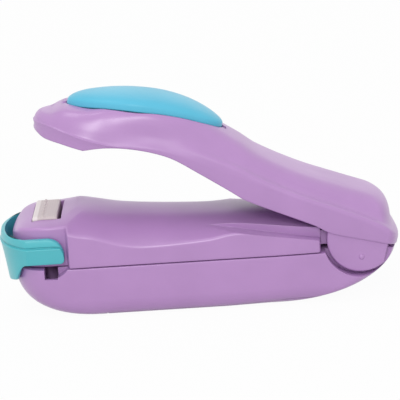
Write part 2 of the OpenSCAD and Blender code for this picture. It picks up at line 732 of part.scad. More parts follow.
crown_knots = [[arm_front, arm_top - 8], [arm_front + 3.9, arm_top - 7.3], [arm_front + 5.5, arm_top - 6.1],
    [arm_front + 7.4, arm_top - 5], [arm_front + 14, arm_top - 3.7], [arm_front + 18, arm_top - 2.3],
    [pad_x, arm_top - 0.3], [arm_front + 33, arm_top - 0.2],
    [arm_front + 38, arm_top - 0.6], [arm_front + 42.5, arm_top - 1.7], [arm_front + 49, arm_top - 4.1],
    [arm_front + 54, arm_top - 5.7], [arm_front + 59, arm_top - 7.7], [hinge_x - 18, arm_top - 10.2],
    [hinge_x - 6, arm_top - 11.6], [hinge_x + 0.8, arm_top - 12.5], [hinge_x + 3.4, arm_top - 13],
    [hinge_x + 6.2, arm_top - 13.8], [hinge_x + 8.8, arm_top - 15.3], [arm_back, arm_top - 18]];
arm_w_knots = [[arm_front, arm_w / 2], [arm_front + 40, arm_w / 2 + 0.1], [arm_front + 60, arm_w / 2 + 1.4],
    [hinge_x - 16, arm_tail_w / 2 - 0.1], [hinge_x - 4, arm_tail_w / 2], [arm_back, arm_tail_w / 2]];
arm_half = function (x) curve(arm_w_knots, x);
skirt_half = function (x) arm_half(x) - skirt_in * (1 - ease(arm_front + 12, arm_front + 25, x));
arm_edge = function (x, y) curve(edge_knots, x);

// Section of the arm over its belt, as [share of the half width, share of the rise]: nose, scooped flank, neck, tail
nose_section = [[0.985, 0.08], [0.955, 0.22], [0.92, 0.37], [0.88, 0.52], [0.83, 0.65], [0.77, 0.76], [0.67, 0.86],
    [0.5, 0.95], [0.3, 0.985], [0.1, 1]];
flank_section = [[0.975, 0.07], [0.94, 0.17], [0.918, 0.3], [0.922, 0.44], [0.9, 0.6], [0.83, 0.75], [0.69, 0.865],
    [0.5, 0.95], [0.3, 0.985], [0.1, 1]];
neck_section = [[0.99, 0.12], [0.965, 0.23], [0.92, 0.32], [0.855, 0.42], [0.79, 0.55], [0.72, 0.7], [0.62, 0.84],
    [0.47, 0.945], [0.29, 0.985], [0.1, 1]];
tail_section = [[0.99, 0.1], [0.965, 0.2], [0.915, 0.265], [0.845, 0.33], [0.775, 0.47], [0.71, 0.66], [0.62, 0.83],
    [0.48, 0.945], [0.29, 0.99], [0.1, 1]];
arm_top_ring = len(nose_section) - 1;
function arm_section(k, x) =
    let (front = lerp(nose_section[k], flank_section[k], ease(arm_front + 8, arm_front + 22, x)),
        back = lerp(neck_section[k], tail_section[k], ease(arm_front + 52, hinge_x - 16, x)))
    lerp(front, back, ease(arm_front + 31, arm_front + 50, x));
function arm_crown(x, k) = lerp(curve(belt_knots, x), curve(crown_knots, x), arm_section(k, x)[1]);

arm_step = (hinge_x - 6 - arm_front - arm_nose_l) / 15;
arm_stations = concat([for (d = [0.8, 2]) arm_front + arm_nose_l + d],
    [for (i = [1 : 15]) arm_front + arm_nose_l + i * arm_step], [hinge_x, hinge_x + 4]);
arm_plan = half_plan(arm_front, arm_back, arm_nose_l, 4.5, 2, arm_stations);
pocket_floor = arm_top - 5.6;
function arm_ring(k, inset, drop, ceiling) =
    ring(arm_plan, arm_front + inset + pow(1 - nose_section[k][0], 1.6) * arm_w / 2,
        arm_back - inset - (1 - tail_section[k][0]) * arm_w / 2,
        function (x) arm_section(k, x)[0] * (arm_half(x) - inset),
        function (x, y) min(arm_crown(x, k) - drop, ceiling));
function arm_rim(half, step, inset, height) =
    ring(arm_plan, arm_front + step + inset, arm_back - inset, function (x) half(x) - inset, height);
module arm_hull() {
    ceiling = pocket_floor - wall;
    belt = function (x, y) curve(belt_knots, x);
    inside = [for (k = [arm_top_ring, 7, 6, 4, 1]) arm_ring(k, wall + 0.2, wall, ceiling)];
    skirt_inside = arm_rim(skirt_half, skirt_in, wall,
        function (x, y) min(lerp(arm_edge(x, y), belt(x, y), 0.35), ceiling));
    rims = [skirt_inside, arm_rim(skirt_half, skirt_in, wall, arm_edge), arm_rim(skirt_half, skirt_in, 0, arm_edge),
        arm_rim(skirt_half, skirt_in, 0, function (x, y) belt(x, y) - 0.35),
        arm_rim(arm_half, 0, 0, belt)];
    skin(concat(inside, rims, [for (k = [0 : arm_top_ring]) arm_ring(k, 0, 0, arm_top + over)]));
}

module oval(length, width, z0, z1) {
    translate([pad_x, 0, z0])
        linear_extrude(height = z1 - z0)
            polygon([for (i = [0 : 47]) [length / 2 * cos(7.5 * i), width / 2 * sin(7.5 * i)]]);
}

// Clip posts of the thumb pad, ribs and holder bosses of the arm
clip_spots = [pad_x - 11, pad_x + 12];
clip_r = 1.8;
holder_front = arm_front + 4.3;
holder_back = arm_front + 11.4;
holder_half = 7;
holder_low = arm_low + 1;
holder_h = 3;
holder_screw_y = 3.2;
holder_screw_x = (holder_front + holder_back) / 2;
holder_boss_r = 2.6;
ear_flat = ear_r - 1.7;
pip_drop = 4.8;
pip_r = 0.7;
rib_t = 1.3;
module arm_rib(x, half, low) {
    rows = [for (k = [1 : arm_top_ring])
        [min(half, arm_section(k, x)[0] * arm_half(x) - 0.7 * wall), min(pocket_floor - wall / 2, arm_crown(x, k) - 0.7 * wall)]];
    side = [for (p = rows) if (p[1] > low + 0.1) p];
    translate([x - rib_t / 2, 0, 0])
        rotate([90, 0, 90])
            linear_extrude(height = rib_t)
                polygon(concat([[-half, low], [half, low]], side,
                    [for (k = [len(side) - 1 : -1 : 0]) [-side[k][0], side[k][1]]]));
}
module arm_fittings() {
    ceiling = pocket_floor - wall;
    both_sides() {
        difference() {
            rod_y(hinge_x, hinge_z, ear_r, ear_in, ear_out);
            box([hinge_x - body_w, 0, hinge_z + 3], [hinge_x + body_w, body_w, hinge_z + body_w]);
            box([hinge_x + ear_flat, 0, hinge_z - body_w], [hinge_x + body_w, body_w, hinge_z + body_w]);
        }
        rod_y(hinge_x + pip_drop * sin(open_angle), hinge_z - pip_drop * cos(open_angle), pip_r, ear_out - 0.5, ear_out + 0.4);
        translate([holder_screw_x, holder_screw_y, holder_low + holder_h + 0.1])
            cylinder(h = ceiling - holder_low - holder_h, r = holder_boss_r, $fn = 48);
    }
    for (x = [arm_front + 22, arm_front + 34, arm_front + 46])
        arm_rib(x, arm_half(x) - skirt_in - wall / 2, curve(edge_knots, x) + 2.5);
    arm_rib(rib_x, rail_half(rib_x), rib_low);
}
module arm_cuts() {
    oval(pad_l + 2 * pad_gap, pad_w + 2 * pad_gap, pocket_floor, arm_top + 10);
    box([pad_x - pad_l / 2 - 1.7, -1.3, pocket_floor], [pad_x + pad_l / 2 + 1.2, 1.3, arm_top + 10]);
    both_sides()
        rod_y(hinge_x, hinge_z, pin_d / 2 + run, ear_in - over, ear_out - 0.7);
    rod_y(hinge_x, hinge_z, barrel_r + fit_gap, -ear_in, ear_in);
    for (x = clip_spots)
        translate([x, 0, pocket_floor - 2 * wall])
            cylinder(h = 3 * wall, r = clip_r + 0.1, $fn = 48);
    both_sides()
        translate([holder_screw_x, holder_screw_y, holder_low])
            cylinder(h = holder_h + 3, r = 1 + run, $fn = 48);
}
module arm_shell() {
    color(lilac)
        arm_pose()
            difference() {
                union() {
                    arm_hull();
                    arm_fittings();
                }
                arm_cuts();
            }
}

// Thumb pad: a hollow oval cap whose rim is bowed along the arm
pad_rim = arm_top - 1.65;
pad_bow = 2.5;
pad_tilt = 0.8;
pad_lean = 0.1;
pad_wall = 1.6;
pad_under = 0.7;
pad_steps = 24;
pad_shares = [0.985, 0.94, 0.86, 0.74, 0.58, 0.4, 0.2, 0.06];
function pad_ring(length, width, height) =
    [for (i = [0 : 2 * pad_steps - 1])
        let (a = 180 * i / pad_steps, x = -length / 2 * cos(a), y = width / 2 * sin(a))
        [pad_x + x, y, height(2 * x / pad_l)]];
function pad_edge(u) = pad_rim + pad_tilt * u - pad_bow * u * u;
module thumb_pad() {
    low = pocket_floor + 0.05;
    dome = function (share, drop) pad_ring(share * pad_l, share * pad_w,
        function (u) pad_edge(u) + pad_dome * (1 - pad_lean * u * (1 + u)) * pow(1 - share * share, 0.3) - drop);
    inner_l = pad_l - 2 * pad_wall;
    inner_w = pad_w - 2 * pad_wall;
    neck_l = pad_l - 2 * pad_under;
    neck_w = pad_w - 2 * pad_under;
    inside = [for (s = [0.1, 0.5, 0.8]) dome(s, pad_wall)];
    color(sky)
        arm_pose()
            union() {
                skin(concat(inside,
                    [pad_ring(inner_l, inner_w, function (u) max(pad_edge(u) - pad_wall, low + 0.2)),
                    pad_ring(inner_l, inner_w, function (u) low), pad_ring(neck_l, neck_w, function (u) low),
                    pad_ring(neck_l, neck_w, function (u) max(pad_edge(u) - 1, low + 0.2)),
                    pad_ring(pad_l, pad_w, function (u) max(pad_edge(u) - 0.7, low + 0.4)),
                    pad_ring(pad_l, pad_w, function (u) pad_edge(u))],
                    [for (s = pad_shares) dome(s, 0)]));
                for (x = clip_spots)
                    translate([x, 0, pocket_floor - wall - 1])
                        cylinder(h = pad_edge(0) + pad_wall / 2 - pocket_floor + wall + 1, r = clip_r, $fn = 48);
            }
}

// Holder and pad share a plan with its front corners cut off
groove_h = 1.6;
holder_cut = 3.4;
module holder_block(inset, low, high) {
    half = holder_half - inset;
    corner = holder_cut + inset * (sqrt(2) - 1);
    translate([0, 0, low])
        linear_extrude(height = high - low)
            polygon([[holder_back - inset, half], [holder_front + corner, half], [holder_front + inset, holder_half - corner],
                [holder_front + inset, corner - holder_half], [holder_front + corner, -half], [holder_back - inset, -half]]);
}
module pad_holder() {
    color("#E9E6E4")
        arm_pose()
            difference() {
                holder_block(0, holder_low, holder_low + holder_h);
                holder_block(0.9, holder_low - over, holder_low + groove_h);
                both_sides()
                    translate([holder_screw_x, holder_screw_y, holder_low])
                        cylinder(h = holder_h + over, r = 1.15, $fn = 48);
            }
}
module pressure_pad() {
    color("#D9D6D2")
        arm_pose()
            difference() {
                holder_block(1, arm_low, holder_low + groove_h);
                both_sides()
                    translate([holder_screw_x, holder_screw_y, holder_low + 0.2])
                        cylinder(h = groove_h + over, r = 1.9, $fn = 48);
            }
}
module holder_screws() {
    color(steel)
        arm_pose()
            both_sides()
                translate([holder_screw_x, holder_screw_y, holder_low + groove_h - 1]) {
                    cylinder(h = 1, r = 1.7, $fn = 48);
                    cylinder(h = 5, r = 1, $fn = 48);
                }
}

// Latch: a band round the nose, with a section of eight points at each place along it
latch_low = pivot_z - 2.6;
latch_top = latch_low + latch_h;
latch_tail = pivot_x + latch_tail_r - 0.3;
latch_tail_l = 4.2;
latch_corner = 1.2;
latch_steps = 10;
latch_end_steps = 5;
latch_ends = [for (i = [0 : latch_end_steps]) latch_tail - latch_tail_l * (1 - cos(90 * i / latch_end_steps))];
function latch_nose(front, half, bend, corner) =
    [for (i = [0 : latch_steps]) let (a = corner * (1 - i / latch_steps))
        [front + bend * (1 - cos(a)) / (1 - cos(corner)), half * sin(a) / sin(corner)]];
function latch_line(front, half, bend, corner) =
    let (side = concat([for (x = latch_ends) [x, half]], latch_nose(front, half, bend, corner)))
    concat(side, [for (i = [len(side) - 2 : -1 : 0]) [side[i][0], -side[i][1]]]);
function latch_roof(x) =
    x < latch_tail - latch_tail_l ? latch_top :
    lerp(pivot_z, latch_top, sqrt(max(1 - pow((x - latch_tail + latch_tail_l) / latch_tail_l, 2), 0)));
latch_bend = 8;
tab_half = latch_out - 4.3;
function latch_heel(x) =
    let (u = min(max((x - latch_tail) / latch_corner + 1, 0), 1))
    0.9 * latch_corner * (1 - sqrt(1 - u * u));
function latch_floor(x, y) =
    latch_low + latch_heel(x)
    - tab_l * (1 - 0.25 * pow(min(abs(y) / tab_half, 1), 2)) * (1 - ease(tab_half, latch_out, abs(y)));
function latch_section(o, i) =
    let (n = unit(i - o), front = 1 - abs(o[1]) / latch_out, lean = lerp(0.3, 2, front),
        top = latch_roof(o[0]), low = latch_floor(o[0], o[1]), step = latch_low + 0.62 * latch_h,
        at = function (p, d, z) [p[0] + n[0] * d, p[1] + n[1] * d, z])
    let (belly = min(step, top - 0.9), lip = min(belly + 0.25, top - 0.6))
    [at(o, lean, low), at(o, 0.68 * lean, lerp(low, belly, 0.45)), at(o, 0, belly), at(o, 0.4, lip),
        at(o, 0.7, top - 0.25), at(o, 1.1, top), at(i, 0, top - 0.1), at(i, lean, low)];
module latch_band() {
    outer = latch_line(front_x, latch_out, latch_bend, 62);
    inner = latch_line(front_x + latch_t, latch_in, latch_bend - 1.9, 80);
    sections = [for (k = [0 : len(outer) - 1]) latch_section(outer[k], inner[k])];
    n = len(sections[0]);
    last = (len(sections) - 1) * n;
    walls = [for (j = [0 : len(sections) - 2], k = [0 : n - 1])
        let (a = j * n + k, b = j * n + (k + 1) % n)
        each [[a, b, b + n], [a, b + n, a + n]]];
    ends = [for (k = [1 : n - 2]) each [[0, k + 1, k], [last, last + k, last + k + 1]]];
    polyhedron([for (s = sections) each s], concat(walls, ends), convexity = 8);
}
module latch_bail() {
    color(teal)
        union() {
            latch_band();
            both_sides()
                rod_y(pivot_x, pivot_z, trunnion_d / 2, nose_w / 2 - wall, latch_in + 0.6);
        }
}

lower_case();
upper_deck();
battery_door();
case_screws();
battery_left();
battery_right();
bridge_contact();
positive_contact();
negative_contact();
switch_strip();
return_strip();
heater_springs();
heater_carrier();
heating_ribbon();
release_tape();
heater_legs();
hinge_pin();
arm_spring();
arm_shell();
thumb_pad();
pad_holder();
pressure_pad();
holder_screws();
latch_bail();
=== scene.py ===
import json
import math
import bpy
import bmesh
import numpy as np
from mathutils import Matrix, Vector


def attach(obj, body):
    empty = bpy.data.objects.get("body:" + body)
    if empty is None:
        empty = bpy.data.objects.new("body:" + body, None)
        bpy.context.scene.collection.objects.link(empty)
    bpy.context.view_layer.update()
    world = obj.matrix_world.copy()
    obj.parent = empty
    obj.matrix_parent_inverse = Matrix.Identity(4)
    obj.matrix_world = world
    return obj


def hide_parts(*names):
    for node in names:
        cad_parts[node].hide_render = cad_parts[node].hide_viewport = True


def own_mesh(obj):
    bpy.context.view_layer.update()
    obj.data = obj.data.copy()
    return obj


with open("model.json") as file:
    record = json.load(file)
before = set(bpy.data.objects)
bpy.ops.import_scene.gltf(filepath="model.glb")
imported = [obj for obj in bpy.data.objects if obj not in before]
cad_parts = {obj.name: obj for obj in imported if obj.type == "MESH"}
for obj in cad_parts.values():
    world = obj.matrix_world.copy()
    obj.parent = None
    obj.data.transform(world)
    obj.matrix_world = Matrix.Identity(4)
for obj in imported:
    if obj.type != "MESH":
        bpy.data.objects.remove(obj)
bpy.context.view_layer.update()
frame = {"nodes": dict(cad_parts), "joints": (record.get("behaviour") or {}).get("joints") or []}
cad = frame["nodes"]

# Lower case: the tub that lies in the palm, one injection moulding in lilac ABS with a flat underside, swept-up
# ends and a locating lip inside the seam. Round recesses at its back take the arm's ears, notches in front the
# latch, and it stands on its flat floor, where the battery door slides.
joint_at = {j["name"]: [1000 * c for c in j.get("pos_m", (0, 0, 0))] for j in frame["joints"]}
hinge_x, _, hinge_z = joint_at["arm_hinge"]
pivot_x, _, pivot_z = joint_at["latch_hinge"]
nose_x, tail_x = pivot_x - 9.7, hinge_x + 10.2
body_half_w, tail_half_w, nose_half_w = 17.0, 16.3, 14.0
seam_z, seam_edge_r = 13.6, 0.22
wall, fit_gap, over, beyond = 1.8, 0.3, 1.0, 40.0
nose_sweep_l, nose_sweep_h, nose_power = 20.0, 12.5, 2.5
tail_sweep_l, tail_sweep_h = 32.0, 14.0
chine_w, chine_h = 4.0, 5.0
latch_tail_r = 4.6
latch_wall_x = pivot_x + latch_tail_r + 0.4
ear_r, ear_gap, ear_in = 8.8, 1.0, 12.6
ear_front = hinge_x - ear_r - ear_gap
deck_back, bay_back = ear_front - 0.3, hinge_x - ear_r - 3
barrel_r, barrel_half = 5.0, ear_in - fit_gap
open_angle = math.radians(14)
heater_x = nose_x + 9.2
screw_spots = [(heater_x + 6.8, 5.2), (heater_x + 6.8, -5.2), (hinge_x - 6.2, 7.4), (hinge_x - 6.2, -7.4)]
screw_seat, boss_split = 6.0, 11.0


def ease(a, b, x):
    t = np.clip((np.asarray(x, float) - a) / (b - a), 0, 1)
    return t * t * (3 - 2 * t)


def lerp(a, b, t):
    return a + (b - a) * t


def half_plan(front, back, nose_l, tail_l, power, stations, steps=20):
    a = np.radians(np.linspace(0, 90, steps + 1))
    tip, side = 1 - np.cos(a) ** (2 / power), np.sin(a) ** (2 / power)
    x = np.concatenate([front + nose_l * tip, stations, (back - tail_l * tip)[::-1]])
    return x, np.concatenate([side, np.ones(len(stations)), side[::-1]])


def ring(plan, front, back, half_w, height):
    x = lerp(front, back, (plan[0] - plan[0][0]) / (plan[0][-1] - plan[0][0]))
    y = plan[1] * half_w(plan[0])
    near = np.stack([x, y, height(x, y) + 0 * x], 1)
    return np.concatenate([near, near[-2:0:-1] * (1, -1, 1)])


def in_scene(name, data):
    obj = bpy.data.objects.new(name, data)
    bpy.context.scene.collection.objects.link(obj)
    return obj


def solid(verts, faces):
    mesh = bpy.data.meshes.new("tool")
    mesh.from_pydata([tuple(v) for v in verts], [], faces)
    made = bmesh.new()
    made.from_mesh(mesh)
    bmesh.ops.remove_doubles(made, verts=made.verts, dist=1e-4)
    bmesh.ops.recalc_face_normals(made, faces=made.faces)
    made.to_mesh(mesh)
    made.free()
    return in_scene("tool", mesh)


def wall_faces(rows, n):
    return [(j * n + i, j * n + (i + 1) % n, (j + 1) * n + (i + 1) % n, (j + 1) * n + i)
            for j in range(rows - 1) for i in range(n)]


def skin(rings):
    n, top = len(rings[0]), (len(rings) - 1) * len(rings[0])
    faces = wall_faces(len(rings), n)
    for i in range(n // 2):
        strip = list(dict.fromkeys([i, i + 1, n - i - 1, (n - i) % n]))
        faces += [tuple(strip[::-1]), tuple(k + top for k in strip)]
    return solid(np.concatenate(rings), faces)


def turned(profile, steps=72):
    turn = np.linspace(0, 2 * math.pi, steps, endpoint=False)
    verts = [(r * math.cos(a), r * math.sin(a), z) for r, z in profile for a in turn]
    faces = wall_faces(len(profile), steps)
    faces += [tuple(range(steps))[::-1], tuple(range((len(profile) - 1) * steps, len(profile) * steps))]
    return solid(verts, faces)


def prism(outline, z0, z1):
    n = len(outline)
    verts = [(x, y, z) for z in (z0, z1) for x, y in outline]
    faces = [tuple(range(n))[::-1], tuple(range(n, 2 * n))]
    return solid(verts, faces + [(i, (i + 1) % n, n + (i + 1) % n, n + i) for i in range(n)])


def box(low, high):
    (x0, y0, z0), (x1, y1, z1) = low, high
    return prism([(x0, y0), (x1, y0), (x1, y1), (x0, y1)], z0, z1)


def moved(obj, matrix):
    obj.data.transform(matrix)
    return obj


def at(x, y, z=0.0):
    return Matrix.Translation((x, y, z))


def upright(x, y, *profile):
    return moved(turned(profile), at(x, y))


def rod_y(x, z, profile):
    return moved(turned(profile, 128), at(x, 0, z) @ Matrix.Rotation(-math.pi / 2, 4, "X"))


def rod(x, z, r, y0, y1):
    return rod_y(x, z, [(r, y0), (r, y1)])


def combine(obj, operation, tools):
    for tool in tools:
        step = obj.modifiers.new("step", "BOOLEAN")
        step.operation, step.solver, step.object = operation, "EXACT", tool
        graph = bpy.context.evaluated_depsgraph_get()
        result = bpy.data.meshes.new_from_object(obj.evaluated_get(graph))
        obj.modifiers.remove(step)
        obj.data = result
        bpy.data.objects.remove(tool)
    return obj


def both_sides(make):
    near, far = make(), make()
    far.data.transform(Matrix.Diagonal((1, -1, 1, 1)))
    far.data.flip_normals()
    return [near, far]


def finished(obj, name, material, smooth_under=32):
    made = bmesh.new()
    made.from_mesh(obj.data)
    bmesh.ops.remove_doubles(made, verts=made.verts, dist=0.004)
    bmesh.ops.dissolve_degenerate(made, edges=made.edges, dist=0.002)
    made.to_mesh(obj.data)
    made.free()
    obj.name = obj.data.name = name
    obj.data.transform(Matrix.Scale(0.001, 4))
    obj.data.materials.clear()
    obj.data.materials.append(material)
    obj.data.polygons.foreach_set("use_smooth", [True] * len(obj.data.polygons))
    obj.data.set_sharp_from_angle(angle=math.radians(smooth_under))
    return obj


def linear(code):
    parts = [int(code[i:i + 2], 16) / 255 for i in (1, 3, 5)]
    return [c / 12.92 if c <= 0.04045 else ((c + 0.055) / 1.055) ** 2.4 for c in parts] + [1.0]


def add(tree, kind, settings=None, feeds=None, **links):
    node = tree.nodes.new(kind)
    for key, value in (settings or {}).items():
        if key == "stops":
            for stop, (position, code) in zip(node.color_ramp.elements, value):
                stop.position, stop.color = position, linear(code)
        elif isinstance(value, bpy.types.NodeSocket):
            tree.links.new(value, node.inputs[key])
        elif isinstance(key, str) and hasattr(node, key):
            setattr(node, key, value)
        else:
            node.inputs[key].default_value = value
    for key, source in links.items():
        tree.links.new(source, node.inputs[key.replace("_", " ")])
    if feeds is not None:
        tree.links.new(node.outputs[0], feeds)
    return node


def new_material(name, **sockets):
    material = bpy.data.materials.new(name)
    material.use_nodes = True
    shader = material.node_tree.nodes["Principled BSDF"]
    for key, value in sockets.items():
        shader.inputs[key.replace("_", " ")].default_value = value
    place = add(material.node_tree, "ShaderNodeTexCoord").outputs["Object"]
    return material, material.node_tree, shader, place


def moulded(name, colour, deeper, roughness, grain=0.06, edge_r=0.0003, **sockets):
    # Moulded plastic: an even colour with faint flow clouds some 14 mm across, a soft gloss that varies a little and
    # the fine grain of the mould. The real grain is about 0.1 mm, drawn at 0.35 mm so that it can show. Edges are
    # rounded off by 0.3 mm, as polishing leaves them, and catch the light.
    material, tree, shader, place = new_material(name, IOR=1.53, **sockets)
    cloud = add(tree, "ShaderNodeTexNoise", {"Scale": 1 / 0.014, "Detail": 3.0}, Vector=place).outputs["Fac"]
    add(tree, "ShaderNodeValToRGB", {"stops": ((0.35, deeper), (0.65, colour))}, shader.inputs["Base Color"],
        Fac=cloud)
    add(tree, "ShaderNodeMapRange", {"To Min": roughness + 0.05, "To Max": roughness - 0.05},
        shader.inputs["Roughness"], Value=cloud)
    mould = add(tree, "ShaderNodeTexNoise", {"Scale": 1 / 0.00035, "Detail": 2.0}, Vector=place).outputs["Fac"]
    worn = add(tree, "ShaderNodeBevel", {"samples": 6, "Radius": edge_r})
    add(tree, "ShaderNodeBump", {"Strength": grain, "Distance": 0.0001}, shader.inputs["Normal"], Height=mould,
        Normal=worn.outputs["Normal"])
    return material


lilac_abs = moulded("lilac_abs_moulded", "#B58BC2", "#B087BD", 0.3)


def sweep(h, z, t=0.0, power=2.0):
    return 1.0 if z >= h else max(1 - ((h - z) / (h - t)) ** power, 0) ** (1 / power)


def case_front(z, t=0.0):
    return nose_x + nose_sweep_l - (nose_sweep_l - t) * sweep(nose_sweep_h, z, t, nose_power)


def case_back(z, t=0.0):
    return tail_x - tail_sweep_l + (tail_sweep_l - t) * sweep(tail_sweep_h, z, t)


def case_chine(z, t=0.0):
    return (chine_w - t) * sweep(chine_h, z, t) - chine_w


def case_floor(x):
    u = min(max((nose_x + nose_sweep_l - x) / nose_sweep_l, 0), 1)
    return nose_sweep_h * (1 - math.sqrt(1 - u * u))


def body_half(x):
    return lerp(body_half_w, tail_half_w, ease(hinge_x - 24, hinge_x - 2, x))


def deck_half(x):
    return lerp(nose_half_w, body_half(x), ease(latch_wall_x - 0.2, latch_wall_x + 0.7, x))


step_stations = np.linspace(latch_wall_x - 0.25, latch_wall_x + 0.75, 15)
side_stations = np.linspace(latch_wall_x + 3, deck_back - 4, 30)
deck_stations = np.concatenate([step_stations, side_stations, np.linspace(deck_back - 3, deck_back - 1.2, 5)])
case_stations = np.concatenate([step_stations, side_stations, np.linspace(deck_back, hinge_x + 1.5, 5)])
plan_power, deck_nose_l, deck_tail_l, case_nose_l, case_tail_l, bay_tail_l = 2.6, 10.5, 1, 14, 8, 0.3
deck_plan = half_plan(nose_x, deck_back, deck_nose_l, deck_tail_l, plan_power, deck_stations)
case_plan = half_plan(nose_x, tail_x, case_nose_l, case_tail_l, plan_power, case_stations)
bay_plan = half_plan(nose_x, deck_back, deck_nose_l, bay_tail_l, plan_power, deck_stations)
lip_h, lip_in = 1.0, wall * 0.55


def case_ring(z, inset=0.0):
    return ring(case_plan, case_front(z) + inset, case_back(z) - inset,
                lambda x: body_half(x) + case_chine(z) - inset, lambda x, y: z)


def lip_ring(z, inset):
    return ring(deck_plan, nose_x + inset, bay_back + wall - inset, lambda x: deck_half(x) - inset, lambda x, y: z)


def bay_ring(z):
    return ring(bay_plan, case_front(z, wall) + 1, bay_back, lambda x: deck_half(x) + case_chine(z, wall),
                lambda x, y: z)


def fillet(r, steps=5):
    a = np.radians(np.linspace(0, 90, steps))
    return list(zip(r * (1 - np.cos(a)), r * (1 - np.sin(a))))


def case_rings():
    straight = (seam_z - seam_edge_r) * (1 - np.cos(np.linspace(0, math.pi / 2, 30)))
    return ([case_ring(z) for z in straight]
            + [case_ring(seam_z - drop, inset) for inset, drop in fillet(seam_edge_r)[1:]])


bay_levels = (seam_z - 2, 9, 6, 4.5, 3.4, 2.6, 2.1, wall)
door_roof, door_gap, door_travel = 1.85, 0.25, 8.0
door_low, door_high, door_half_w = -24.8, 31.0, 14.9
head_r, head_edge, shank_r, shank_room = 2.7, 0.3, 1.3, 0.15
boss_r, boss_room_top = 2.8, seam_z + 5
sleeve_r, sleeve_roof, sleeve_back_low = 3.7, screw_seat + 1.2, 3.3
sleeve_low = case_floor(screw_spots[0][0] - sleeve_r) + 0.3 * wall
post_y, post_r, post_top, peg_r, peg_h = 5.2, 2.7, 12.6, 1.3, 1.2
post_low = case_floor(heater_x - post_r) + wall / 2
bridge_x, strip_z = -28.7, seam_z + 1.4
cross_half, cross_front, cross_back, cross_top = 14.4, bridge_x - 1.4, bridge_x - 0.1, strip_z - 0.3
tail_stop, tail_edge_drop, ear_room_r = ear_r - 1, 1.2, ear_r + ear_gap
tail_slot_front, tail_slot_back, tail_slot_half, tail_slot_low = hinge_x - 2, hinge_x + 6.5, barrel_half - 2.5, 7.5
notch_front, notch_back, notch_in, notch_out = pivot_x - 1.1, pivot_x + 2.3, nose_half_w - 3, nose_half_w + 1.4
notch_room, notch_step, notch_floor, notch_round_low = 1.8, seam_z - 2.5, seam_z - 5, seam_z - 4

lower_case = skin(
    case_rings()
    + [lip_ring(seam_z, lip_in), lip_ring(seam_z + lip_h, lip_in), lip_ring(seam_z + lip_h, wall)]
    + [bay_ring(z) for z in bay_levels])


def screw_sleeve(x, y):
    low = sleeve_low if x < 0 else sleeve_back_low
    return upright(x, y, (sleeve_r, low), (sleeve_r, sleeve_roof), (boss_r, sleeve_roof), (boss_r, boss_split))


def screw_bore(x, y):
    mouth, shaft = head_r + head_edge, shank_r + shank_room
    return upright(x, y, (mouth, -over), (mouth, 0), (head_r, head_edge), (head_r, screw_seat), (shaft, screw_seat),
                   (shaft, boss_split), (boss_r, boss_split), (boss_r, boss_room_top))


def spring_post():
    return upright(heater_x, post_y, (post_r, post_low), (post_r, post_top), (peg_r, post_top),
                   (peg_r, post_top + peg_h))


def notch_round():
    scoop = rod(pivot_x, pivot_z, latch_tail_r + notch_room, nose_half_w - 0.2, 2 * body_half_w)
    return combine(scoop, "INTERSECT", [
        box((notch_front, 0, notch_round_low), (pivot_x + 8, 2 * body_half_w, seam_z + over))])


combine(lower_case, "UNION", [screw_sleeve(*spot) for spot in screw_spots])
combine(lower_case, "UNION", both_sides(spring_post))
combine(lower_case, "UNION", [box((cross_front, -cross_half, wall / 2), (cross_back, cross_half, cross_top))])
combine(lower_case, "DIFFERENCE", [
    box((door_low - door_gap, -door_half_w - door_gap, -over),
        (door_high + door_travel + door_gap, door_half_w + door_gap, door_roof)),
    *both_sides(lambda: rod(hinge_x, hinge_z, ear_room_r, barrel_half, 2 * body_half_w)),
    moved(box((tail_stop, -2 * body_half_w, -tail_edge_drop - fit_gap), (beyond, 2 * body_half_w, beyond)),
          at(hinge_x, 0, hinge_z) @ Matrix.Rotation(open_angle, 4, "Y")),
    rod(hinge_x, hinge_z, barrel_r + fit_gap, -2 * body_half_w, 2 * body_half_w),
    box((tail_slot_front, -tail_slot_half, tail_slot_low), (tail_slot_back, tail_slot_half, seam_z + over)),
    *both_sides(notch_round),
    *both_sides(lambda: box((notch_front, notch_in, notch_step), (notch_back, beyond, seam_z + over))),
    *both_sides(lambda: box((notch_front, notch_in, notch_floor), (notch_back, notch_out, seam_z + over))),
    *[screw_bore(*spot) for spot in screw_spots]])
finished(lower_case, "lower_case_tub", lilac_abs)
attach(lower_case, "base")
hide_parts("lower_case")

# Cells: two AA cells that lie side by side in plain PVC shrink sleeves, dark grey with a light band round the back
# end. They are pushed in against the coil contacts. The sleeve is glossy and a little rippled where it shrank.
cell_sleeve, tree, shader, place = new_material("pvc_shrink_sleeve", IOR=1.5, Roughness=0.28)
cell_reach = 0.026
along = add(tree, "ShaderNodeSeparateXYZ", Vector=place).outputs["X"]
band = add(tree, "ShaderNodeMapRange", {"From Min": -cell_reach, "From Max": cell_reach}, Value=along)
add(tree, "ShaderNodeValToRGB", {"stops": ((0.76, "#3E434B"), (0.78, "#8A8F98"))}, shader.inputs["Base Color"],
    Fac=band.outputs["Result"])
shrink = add(tree, "ShaderNodeTexNoise", {"Scale": 1 / 0.003, "Detail": 2.0}, Vector=place).outputs["Fac"]
add(tree, "ShaderNodeBump", {"Strength": 0.08, "Distance": 0.0002}, shader.inputs["Normal"], Height=shrink)


def dress(material, *names):
    for name in names:
        for place_in in cad[name].material_slots:
            place_in.material = material


dress(cell_sleeve, "battery_left", "battery_right")

